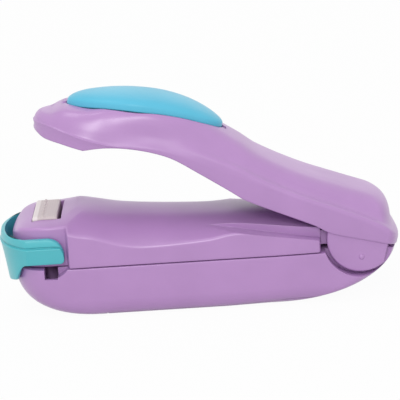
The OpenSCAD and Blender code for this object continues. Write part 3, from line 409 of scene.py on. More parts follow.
# Contacts, arm spring, hinge pin and holder screws: mild steel wire, strip and rod with a bright nickel plate.
# Drawing and stamping leave fine streaks, drawn here across the sealer, which break up the gloss.
plated_steel, tree, shader, place = new_material("nickel_plated_steel", Metallic=1.0)
streak_w, streak_l = 0.0004, 0.004
streaks = add(tree, "ShaderNodeMapping", {"Scale": (1 / streak_w, 1 / streak_l, 1 / streak_w)}, Vector=place)
drawn = add(tree, "ShaderNodeTexNoise", {"Scale": 1.0, "Detail": 3.0},
            Vector=streaks.outputs["Vector"]).outputs["Fac"]
add(tree, "ShaderNodeValToRGB", {"stops": ((0.35, "#A9ACAF"), (0.65, "#C9CBCC"))}, shader.inputs["Base Color"],
    Fac=drawn)
add(tree, "ShaderNodeMapRange", {"To Min": 0.22, "To Max": 0.4}, shader.inputs["Roughness"], Value=drawn)
dress(plated_steel, "bridge_contact", "positive_contact", "negative_contact", "hinge_pin", "arm_spring",
      "holder_screws")

# Heater springs: two coil springs wound from nickel-plated steel wire. They stand on the case's posts and hold the
# heater up in its window. In the sealer they shorten as the heater is pressed down; here they keep their shape.
heater_coils = in_scene("heater_coil_springs", cad["heater_springs"].data.copy())
heater_coils.data.transform(Matrix.Scale(1000, 4))
finished(heater_coils, "heater_coil_springs", plated_steel, 60)
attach(heater_coils, "base")
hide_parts("heater_springs")
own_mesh(heater_coils)

# Strips and heater legs: stamped from half-hard brass. The strips lie over the cells on the case's cross wall, and
# the legs hang below the heater. Handling dulls the brass in patches, which shows as duller gold beside bright.
strip_brass, tree, shader, place = new_material("stamped_brass", Metallic=1.0)
tarnish = add(tree, "ShaderNodeTexNoise", {"Scale": 1 / 0.002, "Detail": 4.0}, Vector=place).outputs["Fac"]
add(tree, "ShaderNodeValToRGB", {"stops": ((0.35, "#A98638"), (0.65, "#CFAC5A"))}, shader.inputs["Base Color"],
    Fac=tarnish)
add(tree, "ShaderNodeMapRange", {"To Min": 0.45, "To Max": 0.25}, shader.inputs["Roughness"], Value=tarnish)
dress(strip_brass, "switch_strip", "return_strip", "heater_legs")

# Battery door: a flat lilac slide under the cells with thumb grooves across its front end and a tongue that
# catches over the case's floor. It is moulded with the case and slides back to open.
door_t, tongue_half, tongue_l = 1.6, 3.0, 1.6
groove_count, groove_step, groove_w, groove_depth, groove_half = 6, 1.6, 0.8, 0.35, 5.0
groove_spots = [door_low + 5 + i * groove_step for i in range(groove_count)]
battery_door = skin(case_rings())
combine(battery_door, "INTERSECT", [box((door_low, -door_half_w, -over), (door_high, door_half_w, door_t))])
combine(battery_door, "UNION", [
    box((door_low - tongue_l, -tongue_half, wall + 0.1), (door_low + tongue_l, tongue_half, wall + 1)),
    box((door_low, -tongue_half, door_t - 0.4), (door_low + tongue_l, tongue_half, wall + 0.9))])
combine(battery_door, "DIFFERENCE", [
    box((x, -groove_half, -over), (x + groove_w, groove_half, groove_depth)) for x in groove_spots])
finished(battery_door, "battery_door_slide", lilac_abs)
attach(battery_door, "door")
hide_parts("battery_door")

# Heater carrier: a block moulded in pale glass-filled nylon that holds the hot ribbon off the case. It stands on
# two coil springs and slides in the deck's collar. The glass leaves it duller and grainier than the case.
carrier_nylon = moulded("glass_filled_nylon", "#E6DFD4", "#DDD5C8", 0.55, 0.12)
dress(carrier_nylon, "heater_carrier")

# Heating ribbon: a flat nickel-chromium strip, rolled thin and laid over the carrier, where the tape covers it.
# Heat browns the grey metal in patches.
nichrome, tree, shader, place = new_material("rolled_nichrome", Metallic=1.0, Roughness=0.38)
heat = add(tree, "ShaderNodeTexNoise", {"Scale": 1 / 0.003, "Detail": 3.0}, Vector=place).outputs["Fac"]
add(tree, "ShaderNodeValToRGB", {"stops": ((0.35, "#6E6257"), (0.65, "#8F8D8A"))}, shader.inputs["Base Color"],
    Fac=heat)
dress(nichrome, "heating_ribbon")

# Release tape: glass cloth coated with fluoropolymer, folded down over the heater's front and back so that the
# bag does not stick. The cloth's plain weave shows through the coating.
heater_half_l, tape_half_w, tape_t, tape_end_r = 3.05, 8.75, 0.2, 0.8
tape_top, tape_drop, tape_fold_r = 25.9, 3.1, 0.55
crease_x, crease_h, crease_w = -0.5, 0.24, 0.2


def tape_path(half, top, r):
    a = np.radians(np.linspace(180, 90, 9))
    bend = np.stack([-half + r + r * np.cos(a), top - r + r * np.sin(a)], 1)
    flat = np.stack([np.linspace(r - half, half - r, 41)[1:-1], np.full(39, top)], 1)
    foot = tape_top - tape_drop
    return np.concatenate([[(-half, foot)], bend, flat, bend[::-1] * (-1, 1), [(half, foot)]])


def tape_row(y, closed):
    past = max(abs(y) - tape_half_w + tape_end_r, 0)
    sag = tape_end_r - math.sqrt(tape_end_r ** 2 - past ** 2)
    outer = tape_path(heater_half_l + tape_t, tape_top, tape_fold_r)
    inner = tape_path(heater_half_l + 0.03, tape_top - tape_t, tape_fold_r - 0.2)
    crease = crease_x + 0.2 * math.sin(2.1 * y) + 0.13 * math.sin(5.3 * y + 1)
    on_top = outer[:, 1] > tape_top - tape_fold_r
    outer[:, 1] += np.where(on_top, crease_h * np.exp(-((outer[:, 0] - crease) / crease_w) ** 2) - sag, 0)
    inner[:, 1] = np.where(closed, tape_top - tape_drop, np.minimum(inner[:, 1], tape_top - tape_t - sag))
    return [(heater_x + x, y, z) for x, z in np.concatenate([outer, inner[::-1]])]


tape_ends = [(tape_half_w - tape_end_r * (1 - math.sin(a)), True) for a in np.radians(np.linspace(50, 90, 7))]
tape_half = [(y, False) for y in np.linspace(0, tape_half_w - 0.22, 61)] + tape_ends
tape_rows = [tape_row(-y, c) for y, c in tape_half[:0:-1]] + [tape_row(y, c) for y, c in tape_half]
m = len(tape_rows[0])
tape_faces = wall_faces(len(tape_rows), m)
tape_faces += [(j + k, j + k + 1, j + m - 2 - k, j + m - 1 - k)
               for j in (0, (len(tape_rows) - 1) * m) for k in range(m // 2 - 1)]
release_tape = solid([p for row in tape_rows for p in row], tape_faces)
tape_cloth, tree, shader, place = new_material("coated_glass_cloth", IOR=1.38, Roughness=0.5)
thread, thread_tone = 0.0006, -0.15
bands = {"wave_type": "BANDS", "Scale": math.pi / 10 / thread}
weave, weft = [add(tree, "ShaderNodeTexWave", {**bands, "bands_direction": across}, Vector=place).outputs["Fac"]
               for across in "XY"]
cloth = add(tree, "ShaderNodeMath", {"operation": "MAXIMUM", 0: weave, 1: weft}).outputs["Value"]
along = add(tree, "ShaderNodeSeparateXYZ", Vector=place).outputs["X"]
strip_end, strip_blur = (heater_x - 1.9) / 1000, 0.0002
strip = add(tree, "ShaderNodeMapRange", {"From Min": strip_end - strip_blur, "From Max": strip_end + strip_blur},
            Value=along).outputs["Result"]
shade = add(tree, "ShaderNodeMath", {"operation": "MULTIPLY_ADD", 0: cloth, 1: thread_tone, 2: strip})
add(tree, "ShaderNodeValToRGB", {"stops": ((0.0, "#E6DEDD"), (1.0, "#C9BCBD"))}, shader.inputs["Base Color"],
    Fac=shade.outputs["Value"])
add(tree, "ShaderNodeBump", {"Strength": 0.12, "Distance": 0.00012}, shader.inputs["Normal"], Height=cloth)
finished(release_tape, "release_tape_fold", tape_cloth)
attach(release_tape, "heater")
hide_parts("release_tape")

# Upper deck: the lilac cover over the cells, dished along the saddle, with a narrow nose between the latch arms,
# a window for the heater, ledges for the arm's skirt and the hinge barrels behind. Four screws hold it down.
nose_rise, saddle_rise, saddle_drop = 12.0, 10.2, 6.4
deck_edge_r, seam_gap, run = 0.6, 0.3, 0.05
spine_top, saddle_top = seam_z + nose_rise, seam_z + saddle_rise


def run_of(x, z, *steps):
    return [(x + along, z + rise) for along, rise in steps]


spine_knots = [
    *run_of(nose_x, spine_top, (0, -4), (2.5, -1.6), (7, -0.3)), (heater_x + 4, spine_top),
    (latch_wall_x + 3.5, spine_top + 1.4), *run_of(latch_wall_x, saddle_top, (14, 1.8), (34, 0)),
    (hinge_x - 32, saddle_top - 0.8), (ear_front, saddle_top - 3)]
drop_knots = [
    (nose_x, 1.5), (nose_x + 7, 2.1), (latch_wall_x, 2.9), (latch_wall_x + 3, 4.6),
    *run_of(latch_wall_x, saddle_drop, (7, -1.4), (17, 0), (24, -0.4), (37, -2.3)),
    (hinge_x - 32, saddle_drop - 4), (ear_front, saddle_drop - 4.4)]
fall_knots = [(nose_x, 3.2), (latch_wall_x, 3), (latch_wall_x + 8, 2.2), (ear_front, 2.2)]
arm_front = nose_x + 2.15
arm_back = hinge_x + (10.9 + 0.025) / math.cos(open_angle)
arm_half_w, arm_tail_half_w = 13.0, 15.5
arm_width_knots = [
    (arm_front, arm_half_w), (arm_front + 40, arm_half_w + 0.1), (arm_front + 60, arm_half_w + 1.4),
    (hinge_x - 16, arm_tail_half_w - 0.1), (hinge_x - 4, arm_tail_half_w), (arm_back, arm_tail_half_w)]


def curve(knots, x):
    xs, vs = np.array(knots, float).T
    last = len(xs) - 1
    k = np.arange(last + 1)
    low, high = np.maximum(k - 1, 0), np.minimum(k + 1, last)
    slope = (vs[high] - vs[low]) / (xs[high] - xs[low])
    i = np.clip(np.searchsorted(xs, x, side="right") - 1, 0, last - 1)
    h = xs[i + 1] - xs[i]
    t = np.clip((x - xs[i]) / h, 0, 1)
    u = 1 - t
    return (vs[i] * u * u * (1 + 2 * t) + vs[i + 1] * t * t * (3 - 2 * t)
            + h * t * u * (u * slope[i] - t * slope[i + 1]))


def arm_half(x):
    return curve(arm_width_knots, x)


def deck_z(x, y):
    return curve(spine_knots, x) - curve(drop_knots, x) * (np.abs(y) / body_half_w) ** curve(fall_knots, x)


ledge_x, ledge_high, ledge_low = hinge_x - 33, seam_z + 7.2, seam_z + 3.4
ledge_slope = (ledge_low - ledge_high) / (ear_front - ledge_x)


def ledge_z(x):
    return ledge_high + (x - ledge_x) * ledge_slope


def rail_half(x):
    return arm_half(x) - wall - 0.5


def deck_ring(share, inset, drop):
    d = inset + (1 - share) * nose_half_w
    return ring(deck_plan, nose_x + d, deck_back - d, lambda x: share * (deck_half(x) - inset),
                lambda x, y: deck_z(x, y) - drop)


def deck_ceiling(share):
    points = deck_ring(share, wall, wall)
    under_ledge = np.abs(points[:, 1]) >= arm_tail_half_w - 3 * wall - 0.5
    points[under_ledge, 2] = np.minimum(points[under_ledge, 2], ledge_z(points[under_ledge, 0]) - wall)
    return points


def deck_rim(z, inset):
    return ring(deck_plan, nose_x + inset, deck_back - inset, lambda x: deck_half(x) - inset, lambda x, y: z)


def deck_wall(share):
    rim_ring, edge_ring = deck_rim(deck_low + seam_edge_r, 0), deck_ring(1, 0, deck_edge_r)
    return lerp(rim_ring, edge_ring, share)


def ledge_tool():
    steps = np.concatenate([np.linspace(-6, 18, 13), [hinge_x - ledge_x]])
    outline = [(d, rail_half(ledge_x + d)) for d in steps] + [(hinge_x - ledge_x, beyond), (-6, beyond)]
    lean = Matrix.Rotation(-math.atan(ledge_slope), 4, "Y")
    return moved(prism(outline, 0, beyond), at(ledge_x, 0, ledge_high) @ lean)


def deck_boss(x, y):
    top = float(deck_z(x, y)) - wall / 2 if x < 0 else tongue_low + 1
    return upright(x, y, (boss_r - 0.2, boss_split + 0.1), (boss_r - 0.2, top))


def pilot_hole(x, y):
    return upright(x, y, (shank_r + run, boss_split - over), (shank_r + run, screw_top + 0.4))


deck_low = seam_z + seam_gap
rebate_in = lip_in - 0.2
window_front, window_back, window_half = heater_x - 3.45, heater_x + 4.25, 8.9
collar_t, collar_low, tongue_low, tongue_top, spring_slot = 1.1, 21.1, seam_z + 1.3, hinge_z + 2.4, 4.4
trunnion_r, pin_r, screw_top = 1.6, 1.5, 18.0
upper_deck = skin(
    [deck_ceiling(s) for s in (0.1, 0.25, 0.4, 0.55, 0.7, 0.85, 1)]
    + [deck_rim(deck_low + lip_h, wall), deck_rim(deck_low + lip_h, rebate_in), deck_rim(deck_low, rebate_in)]
    + [deck_rim(deck_low + drop, inset) for inset, drop in fillet(seam_edge_r)[:0:-1]]
    + [deck_wall(s) for s in (0, 0.25, 0.5, 0.75)]
    + [deck_ring(1, inset, drop) for inset, drop in fillet(deck_edge_r, 9)]
    + [deck_ring(s, deck_edge_r, 0) for s in np.linspace(0.97, 0.03, 30)])
combine(upper_deck, "UNION", [
    box((window_front - collar_t, -window_half - collar_t, collar_low),
        (heater_x + heater_half_l + 0.4, window_half + collar_t, seam_z + nose_rise - 1.2)),
    *[deck_boss(*spot) for spot in screw_spots],
    box((deck_back - wall, -barrel_half, tongue_low), (hinge_x, barrel_half, tongue_top)),
    rod(hinge_x, hinge_z, barrel_r, -barrel_half, barrel_half)])
combine(upper_deck, "DIFFERENCE", [
    box((window_front, -window_half, boss_split - over), (window_back, window_half, seam_z + nose_rise + 5)),
    *both_sides(lambda: rod(pivot_x, pivot_z, trunnion_r + run, nose_half_w - wall - 2, nose_half_w + over)),
    rod(hinge_x, hinge_z, pin_r + run, -beyond / 2, beyond / 2),
    box((hinge_x - 7, -spring_slot, hinge_z - 6), (hinge_x + 6, spring_slot, hinge_z + 6)),
    *[pilot_hole(*spot) for spot in screw_spots],
    *both_sides(ledge_tool)])
finished(upper_deck, "upper_deck_cover", lilac_abs)
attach(upper_deck, "base")
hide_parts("upper_deck")

# Case screws: four thread-forming screws with cross-recessed pan heads, driven up through the tub into the
# deck's bosses. One screw is drawn by the node tree and set at each of the four spots.
head_h, head_lift = 1.8, 0.31
screw_tree = bpy.data.node_groups.new("cross_recessed_screws", "GeometryNodeTree")
for name, kind, value in (("Geometry", "NodeSocketGeometry", None), ("Head radius", "NodeSocketFloat", 2.4),
                          ("Head height", "NodeSocketFloat", head_h), ("Shank radius", "NodeSocketFloat", shank_r),
                          ("Shank length", "NodeSocketFloat", 12.0), ("Recess width", "NodeSocketFloat", 0.7),
                          ("Recess depth", "NodeSocketFloat", 1.0), ("Metal", "NodeSocketMaterial", None)):
    socket = screw_tree.interface.new_socket(name, in_out="INPUT", socket_type=kind)
    if value is not None:
        socket.default_value = value
screw_tree.interface.new_socket("Geometry", in_out="OUTPUT", socket_type="NodeSocketGeometry")
given = add(screw_tree, "NodeGroupInput").outputs
measure = {}
for name, source, share in (("foot radius", "Head radius", 0.86), ("foot height", "Head height", 0.35),
                            ("rim height", "Head height", 0.65), ("rim place", "Head height", 0.675),
                            ("half shank", "Shank length", 0.5), ("recess length", "Head radius", 1.15),
                            ("recess height", "Recess depth", 2)):
    scaled = add(screw_tree, "ShaderNodeMath", {"operation": "MULTIPLY", 0: given[source], 1: share})
    measure[name] = scaled.outputs["Value"]
shank_place = add(screw_tree, "ShaderNodeMath",
                  {"operation": "ADD", 0: given["Head height"], 1: measure["half shank"]}).outputs["Value"]
head = add(screw_tree, "GeometryNodeMeshCone", {"Vertices": 48, "Side Segments": 1},
           Radius_Bottom=measure["foot radius"], Radius_Top=given["Head radius"], Depth=measure["foot height"])
rim = add(screw_tree, "GeometryNodeMeshCylinder", {"Vertices": 48}, Radius=given["Head radius"],
          Depth=measure["rim height"])
shank = add(screw_tree, "GeometryNodeMeshCylinder", {"Vertices": 32}, Radius=given["Shank radius"],
            Depth=given["Shank length"])
screw_body = add(screw_tree, "GeometryNodeMeshBoolean", {"operation": "UNION", "solver": "EXACT"},
                 Mesh_2=head.outputs["Mesh"])
for part, height in ((rim, measure["rim place"]), (shank, shank_place)):
    lift = add(screw_tree, "ShaderNodeCombineXYZ", Z=height).outputs["Vector"]
    add(screw_tree, "GeometryNodeTransform", None, screw_body.inputs["Mesh 2"], Geometry=part.outputs["Mesh"],
        Translation=lift)
screw_cut = add(screw_tree, "GeometryNodeMeshBoolean", {"operation": "DIFFERENCE", "solver": "EXACT"},
                Mesh_1=screw_body.outputs["Mesh"])
for x, y in ((measure["recess length"], given["Recess width"]), (given["Recess width"], measure["recess length"])):
    size = add(screw_tree, "ShaderNodeCombineXYZ", X=x, Y=y, Z=measure["recess height"]).outputs["Vector"]
    add(screw_tree, "GeometryNodeMeshCube", None, screw_cut.inputs["Mesh 2"], Size=size)
spots = add(screw_tree, "GeometryNodeMeshToPoints", Mesh=given["Geometry"])
set_out = add(screw_tree, "GeometryNodeInstanceOnPoints", Points=spots.outputs["Points"],
              Instance=screw_cut.outputs["Mesh"])
real = add(screw_tree, "GeometryNodeRealizeInstances", Geometry=set_out.outputs["Instances"])
plated = add(screw_tree, "GeometryNodeSetMaterial", Geometry=real.outputs["Geometry"], Material=given["Metal"])
add(screw_tree, "NodeGroupOutput", Geometry=plated.outputs["Geometry"])

screw_mesh = bpy.data.meshes.new("case_screw_spots")
screw_mesh.from_pydata([(x, y, screw_seat - head_h + head_lift) for x, y in screw_spots], [], [])
case_screws = in_scene("case_screw_set", screw_mesh)
screw_nodes = case_screws.modifiers.new("screws", "NODES")
screw_nodes.node_group = screw_tree
sockets = {item.name: item.identifier for item in screw_tree.interface.items_tree if item.in_out == "INPUT"}
screw_nodes[sockets["Metal"]] = plated_steel
screw_result = bpy.data.meshes.new_from_object(case_screws.evaluated_get(bpy.context.evaluated_depsgraph_get()))
case_screws.modifiers.clear()
case_screws.data = screw_result
finished(case_screws, "case_screw_set", plated_steel, 40)
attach(case_screws, "base")
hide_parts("case_screws")

# Arm: the lilac lever that is squeezed down, a hollow moulding with a ridge round its nose, scooped flanks, a
# waist behind the pad and a broad tail. Half-disc ears hang from its tail and turn on the hinge pin.
arm_rise, arch_rise, skirt_in, arm_nose_l = 26.6, 14.9, 0.2, 17.0
arm_low, arm_top = seam_z + nose_rise + 0.3 + fit_gap, seam_z + arm_rise
arch_z = seam_z + arch_rise
pad_along = 28.25
pad_x = arm_front + pad_along
edge_knots = [
    *run_of(arm_front, arm_low, (0, 1.1), (1.5, 0.7), (3.2, 0.2), (4.7, 0.1), (8, 0.1), (10.7, -0.05), (13.3, -0.2),
            (14.2, -0.2), (16, 0.5)),
    *run_of(arm_front, arch_z, (19.5, -0.8), (24.5, 0), (31, 0.2), (37, -0.5), (44.5, -3)),
    (ledge_x - 2.6, ledge_z(ledge_x) + 1.7), (ledge_x + 2, ledge_z(ledge_x + 2) + fit_gap + 0.1),
    (ear_front - 3, ledge_z(ear_front - 3) + fit_gap + 0.1), (ear_front + 1, hinge_z + 0.3), (ear_front + 4, hinge_z),
    (hinge_x + 6, hinge_z), (hinge_x + tail_stop + 0.4, hinge_z - 0.2), (arm_back, hinge_z - tail_edge_drop)]
belt_knots = [
    *run_of(arm_front, seam_z, (0, 15.8), (2.3, 16.3), (4.5, 16.4), (7, 16.2), (10.6, 15.8), (14, 15.4)),
    *run_of(arm_front, arch_z, (17, 0.2), (20.6, 0.1), (31, 1), (37, 0.7)),
    (arm_front + 46, seam_z + 14.2), (ledge_x, seam_z + 12.8),
    *run_of(hinge_x, seam_z, (-18, 10.2), (-6, 8.4), (4, 6.2)), (arm_back, seam_z + 2.7)]
crown_knots = [
    *run_of(arm_front, arm_top, (0, -8), (3.9, -7.3), (5.5, -6.1), (7.4, -5), (14, -3.7), (18, -2.3),
            (pad_along, -0.3), (33, -0.2), (38, -0.6), (42.5, -1.7), (49, -4.1), (54, -6), (59, -8.2)),
    *run_of(hinge_x, arm_top, (-18, -11), (-6, -12.5), (0.8, -13.2), (3.4, -13.5), (6.2, -13.9), (8.8, -14.9)),
    (arm_back, arm_top - 17.8)]
nose_section = [(0.985, 0.08), (0.965, 0.2), (0.943, 0.33), (0.915, 0.46), (0.88, 0.595), (0.83, 0.735),
                (0.745, 0.88), (0.53, 0.97), (0.3, 0.985), (0.1, 1)]
flank_section = [(0.975, 0.07), (0.935, 0.17), (0.9, 0.3), (0.885, 0.44), (0.868, 0.61), (0.825, 0.785),
                 (0.71, 0.915), (0.5, 0.97), (0.3, 0.99), (0.1, 1)]
neck_section = [(0.995, 0.12), (0.98, 0.24), (0.935, 0.31), (0.86, 0.365), (0.785, 0.49), (0.715, 0.68), (0.62, 0.84),
                (0.47, 0.945), (0.29, 0.985), (0.1, 1)]
tail_section = [(0.995, 0.1), (0.975, 0.19), (0.92, 0.235), (0.845, 0.275), (0.775, 0.41), (0.71, 0.63), (0.62, 0.82),
                (0.48, 0.945), (0.29, 0.99), (0.1, 1)]
top_row = len(nose_section) - 1


def section_at(section, k):
    return [curve(list(enumerate(column)), np.array(k, float)) for column in zip(*section)]


def arm_section(k, x):
    nose, flank, neck, tail = [section_at(s, k) for s in (nose_section, flank_section, neck_section, tail_section)]
    scooped, flared = ease(arm_front + 18, arm_front + 30, x), ease(arm_front + 52, hinge_x - 16, x)
    waist = ease(arm_front + 31, arm_front + 50, x)
    return [lerp(lerp(nose[i], flank[i], scooped), lerp(neck[i], tail[i], flared), waist) for i in (0, 1)]


def belt(x, y=0):
    return curve(belt_knots, x)


def arm_edge(x, y=0):
    return curve(edge_knots, x)


def arm_crown(x, k):
    return lerp(belt(x), curve(crown_knots, x), arm_section(k, x)[1])


def skirt_half(x):
    return arm_half(x) - skirt_in * (1 - ease(arm_front + 12, arm_front + 25, x))


arm_stations = np.concatenate([np.linspace(arm_front + arm_nose_l + 0.3, arm_front + arm_nose_l + 3, 8),
                               np.linspace(arm_front + arm_nose_l + 4, hinge_x + 4.5, 76)])
arm_plan = half_plan(arm_front, arm_back, arm_nose_l, 4.5, 2, arm_stations, 24)
pocket_floor = arm_top - 5.6
arm_ceiling = pocket_floor - wall
skirt_edge_r, ridge_out, tail_in, nose_draw, inner_rows = 0.35, 0.22, 0.08, 1.6, (top_row, 8, 7, 6, 5, 4, 2.5, 1)


def arm_ring(k, inset=0.0, drop=0.0, ceiling=100.0):
    return ring(arm_plan, arm_front + inset + (1 - float(section_at(nose_section, k)[0])) ** nose_draw * arm_half_w,
                arm_back - tail_in - inset - (1 - float(section_at(tail_section, k)[0])) * arm_half_w,
                lambda x: arm_section(k, x)[0] * (arm_half(x) - inset),
                lambda x, y: np.minimum(arm_crown(x, k) - drop, ceiling))


def arm_rim(half, step, inset, height):
    return ring(arm_plan, arm_front + step + inset, arm_back - tail_in - inset, lambda x: half(x) - inset, height)


def skirt_top(x, y):
    return np.minimum(lerp(arm_edge(x), belt(x), 0.35), arm_ceiling)


def raised(drop):
    return lambda x, y: arm_edge(x) + drop


def ridge_half(x):
    return arm_half(x) + ridge_out * (1 - ease(arm_front + 17, arm_front + 27, x))


arm_shell = skin(
    [arm_ring(k, wall + 0.2, wall, arm_ceiling) for k in inner_rows]
    + [arm_rim(skirt_half, skirt_in, wall, skirt_top), arm_rim(skirt_half, skirt_in, wall, arm_edge)]
    + [arm_rim(skirt_half, skirt_in, inset, raised(drop)) for inset, drop in fillet(skirt_edge_r)[::-1]]
    + [arm_rim(skirt_half, skirt_in, 0, lambda x, y: np.maximum(belt(x) - 1.4, lerp(arm_edge(x), belt(x), 0.5))),
       arm_rim(ridge_half, -ridge_out, 0, belt),
       arm_rim(arm_half, 0, 0, lambda x, y: belt(x) + 0.2)]
    + [arm_ring(k) for k in np.linspace(0, top_row, 37)])

ear_out, ear_flat, ear_top = 15.0, ear_r - 1.7, hinge_z + 3
pip_drop, pip_r, pip_h = 4.8, 0.7, 0.4
holder_front, holder_back, holder_low = arm_front + 4.3, arm_front + 11.4, arm_low + 1
holder_top = holder_low + 3.0
holder_screw_x, holder_screw_y, holder_boss_r = (holder_front + holder_back) / 2, 3.2, 2.6
rib_t, spring_rib_x, spring_rib_low = 1.3, hinge_x - 11, hinge_z + 5.5


def arm_turn(obj):
    return moved(obj, at(hinge_x, 0, hinge_z) @ Matrix.Rotation(open_angle, 4, "Y") @ at(-hinge_x, 0, -hinge_z))


def ear():
    disc = rod_y(hinge_x, hinge_z, [(ear_r, ear_in)] + [(ear_r - i, ear_out - d) for i, d in fillet(0.45)])
    return combine(disc, "DIFFERENCE", [
        box((hinge_x - beyond / 2, 0, ear_top), (hinge_x + beyond / 2, beyond, hinge_z + beyond)),
        box((hinge_x + ear_flat, 0, hinge_z - beyond), (hinge_x + beyond, beyond, hinge_z + beyond))])


def pip():
    dome = [(pip_r * math.cos(t), ear_out + pip_h * math.sin(t)) for t in np.radians((0, 20, 40, 60, 80))]
    return rod_y(hinge_x + pip_drop * math.sin(open_angle), hinge_z - pip_drop * math.cos(open_angle),
                 [(pip_r, ear_out - 0.5)] + dome)


def arm_rib(x, half, low):
    rows = range(1, top_row + 1)
    side = [(min(half, float(arm_section(k, x)[0] * arm_half(x)) - 0.7 * wall),
             min(pocket_floor - wall / 2, float(arm_crown(x, k)) - 0.7 * wall)) for k in rows]
    side = [(y, z) for y, z in side if z > low + 0.1]
    outline = [(-half, low), (half, low)] + side + [(-y, z) for y, z in side[::-1]]
    turn = Matrix(((0, 0, 1, 0), (1, 0, 0, 0), (0, 1, 0, 0), (0, 0, 0, 1)))
    return moved(prism(outline, x - rib_t / 2, x + rib_t / 2), turn)


def oval(length, width, z0, z1):
    turn = np.linspace(0, 2 * math.pi, 160, endpoint=False)
    return moved(prism([(length / 2 * math.cos(a), width / 2 * math.sin(a)) for a in turn], z0, z1), at(pad_x, 0))


def at_holder_screw(r, low, high):
    return upright(holder_screw_x, holder_screw_y, (r, low), (r, high))


def clip_hole(x):
    return upright(x, 0, (clip_r + 0.1, pocket_floor - 2 * wall), (clip_r + 0.1, pocket_floor + wall))


pad_l, pad_w, pad_gap, clip_r, holder_pilot_r = 41.0, 20.0, 0.3, 1.8, 1 + run
pry_front, pry_back, pry_half = pad_x - pad_l / 2 - 1.7, pad_x + pad_l / 2 + 1.2, 1.3
clip_spots = (pad_x - 11, pad_x + 12)
rib_rise, pocket_top = 2.5, arm_top + 10
ribs = [(x, float(arm_half(x)) - skirt_in - wall / 2, float(arm_edge(x)) + rib_rise)
        for x in (arm_front + 22, arm_front + 34, arm_front + 46)]
ribs.append((spring_rib_x, float(rail_half(spring_rib_x)), spring_rib_low))
combine(arm_shell, "UNION", [
    *both_sides(ear), *both_sides(pip), *[arm_rib(*r) for r in ribs],
    *both_sides(lambda: at_holder_screw(holder_boss_r, holder_top + 0.1, arm_ceiling + 0.1))])
combine(arm_shell, "DIFFERENCE", [
    oval(pad_l + 2 * pad_gap, pad_w + 2 * pad_gap, pocket_floor, pocket_top),
    box((pry_front, -pry_half, pocket_floor), (pry_back, pry_half, pocket_top)),
    *both_sides(lambda: rod(hinge_x, hinge_z, pin_r + run, ear_in - over, ear_out - 0.7)),
    rod(hinge_x, hinge_z, barrel_r + fit_gap, -ear_in, ear_in),
    *[clip_hole(x) for x in clip_spots],
    *both_sides(lambda: at_holder_screw(holder_pilot_r, holder_low, holder_top + 3))])
arm_turn(arm_shell)
finished(arm_shell, "arm_lever", lilac_abs)
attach(arm_shell, "arm")
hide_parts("arm_shell")

# Thumb pad: a hollow oval cap in sky-blue ABS, bowed along the arm, that snaps into the arm's pocket with two
# clip posts. Its rim stands a little over the arm and is undercut, so a dark line runs under its edge.
pad_rim, pad_dome, pad_bow, pad_tilt = arm_top - 1.5, 3.3, 2.65, 0.65
pad_swell = [(-1, 1.0), (-0.8, 0.97), (-0.6, 0.915), (-0.2, 0.945), (0.2, 1.03), (0.55, 1.01), (0.82, 0.87), (1, 0.7)]
pad_wall, pad_under, pad_seat, clip_rise = 1.6, 0.7, pocket_floor + 0.05, 1.6


def pad_ring(length, width, height, steps=72):
    a = np.linspace(0, 2 * math.pi, 2 * steps, endpoint=False)
    x, y = -length / 2 * np.cos(a), width / 2 * np.sin(a)
    return np.stack([pad_x + x, y, height(2 * x / pad_l) + 0 * x], 1)


def pad_edge(u):
    return pad_rim + pad_tilt * u - pad_bow * u * u


def pad_top(share, drop=0.0):
    lift = pad_dome * (1 - share * share) ** 0.3
    return pad_ring(share * pad_l, share * pad_w, lambda u: pad_edge(u) + lift * curve(pad_swell, u) - drop)


def pad_band(inset, height):
    return pad_ring(pad_l - 2 * inset, pad_w - 2 * inset, height)


thumb_pad = skin(
    [pad_top(s, pad_wall) for s in (0.1, 0.3, 0.5, 0.65, 0.8)]
    + [pad_band(pad_wall, lambda u: np.maximum(pad_edge(u) - pad_wall, pad_seat + 0.2)),
       pad_band(pad_wall, lambda u: pad_seat), pad_band(pad_under, lambda u: pad_seat),
       pad_band(pad_under, lambda u: np.maximum(pad_edge(u) - 1, pad_seat + 0.2)),
       pad_band(0.15, lambda u: np.maximum(pad_edge(u) - 0.75, pad_seat + 0.35)),
       pad_band(0, lambda u: np.maximum(pad_edge(u) - 0.55, pad_seat + 0.45)), pad_band(0, pad_edge)]
    + [pad_top(s) for s in np.sin(np.radians(np.linspace(87, 2, 34)))])


def clip_post(x):
    top = pad_edge(2 * (x - pad_x) / pad_l) + clip_rise
    return upright(x, 0, (clip_r, pocket_floor - wall - 1), (clip_r, top))


combine(thumb_pad, "UNION", [clip_post(x) for x in clip_spots])
arm_turn(thumb_pad)
sky_abs = moulded("sky_blue_abs_moulded", "#62BDDA", "#5DB8D5", 0.3, Specular_IOR_Level=0.12)
finished(thumb_pad, "thumb_pad_cap", sky_abs)
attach(thumb_pad, "arm")
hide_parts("thumb_pad")

# Pad holder: a block moulded in white ABS, with a groove for the pressure pad. Two small screws hold it under the
# bosses in the arm's nose.
dress(moulded("white_abs_moulded", "#F0EDEC", "#E8E5E4", 0.4), "pad_holder")

# Pressure pad: a strip of cast silicone rubber pushed into the holder's groove, which presses the bag on the
# heater. The rubber is pale and matt, and dust that clings to it clouds it a little.
silicone, tree, shader, place = new_material("cast_silicone", IOR=1.41)
dust = add(tree, "ShaderNodeTexNoise", {"Scale": 1 / 0.001, "Detail": 4.0}, Vector=place).outputs["Fac"]
add(tree, "ShaderNodeValToRGB", {"stops": ((0.35, "#CFCBC6"), (0.65, "#DDDAD6"))}, shader.inputs["Base Color"],
    Fac=dust)
add(tree, "ShaderNodeMapRange", {"To Min": 0.55, "To Max": 0.75}, shader.inputs["Roughness"], Value=dust)
dress(silicone, "pressure_pad")

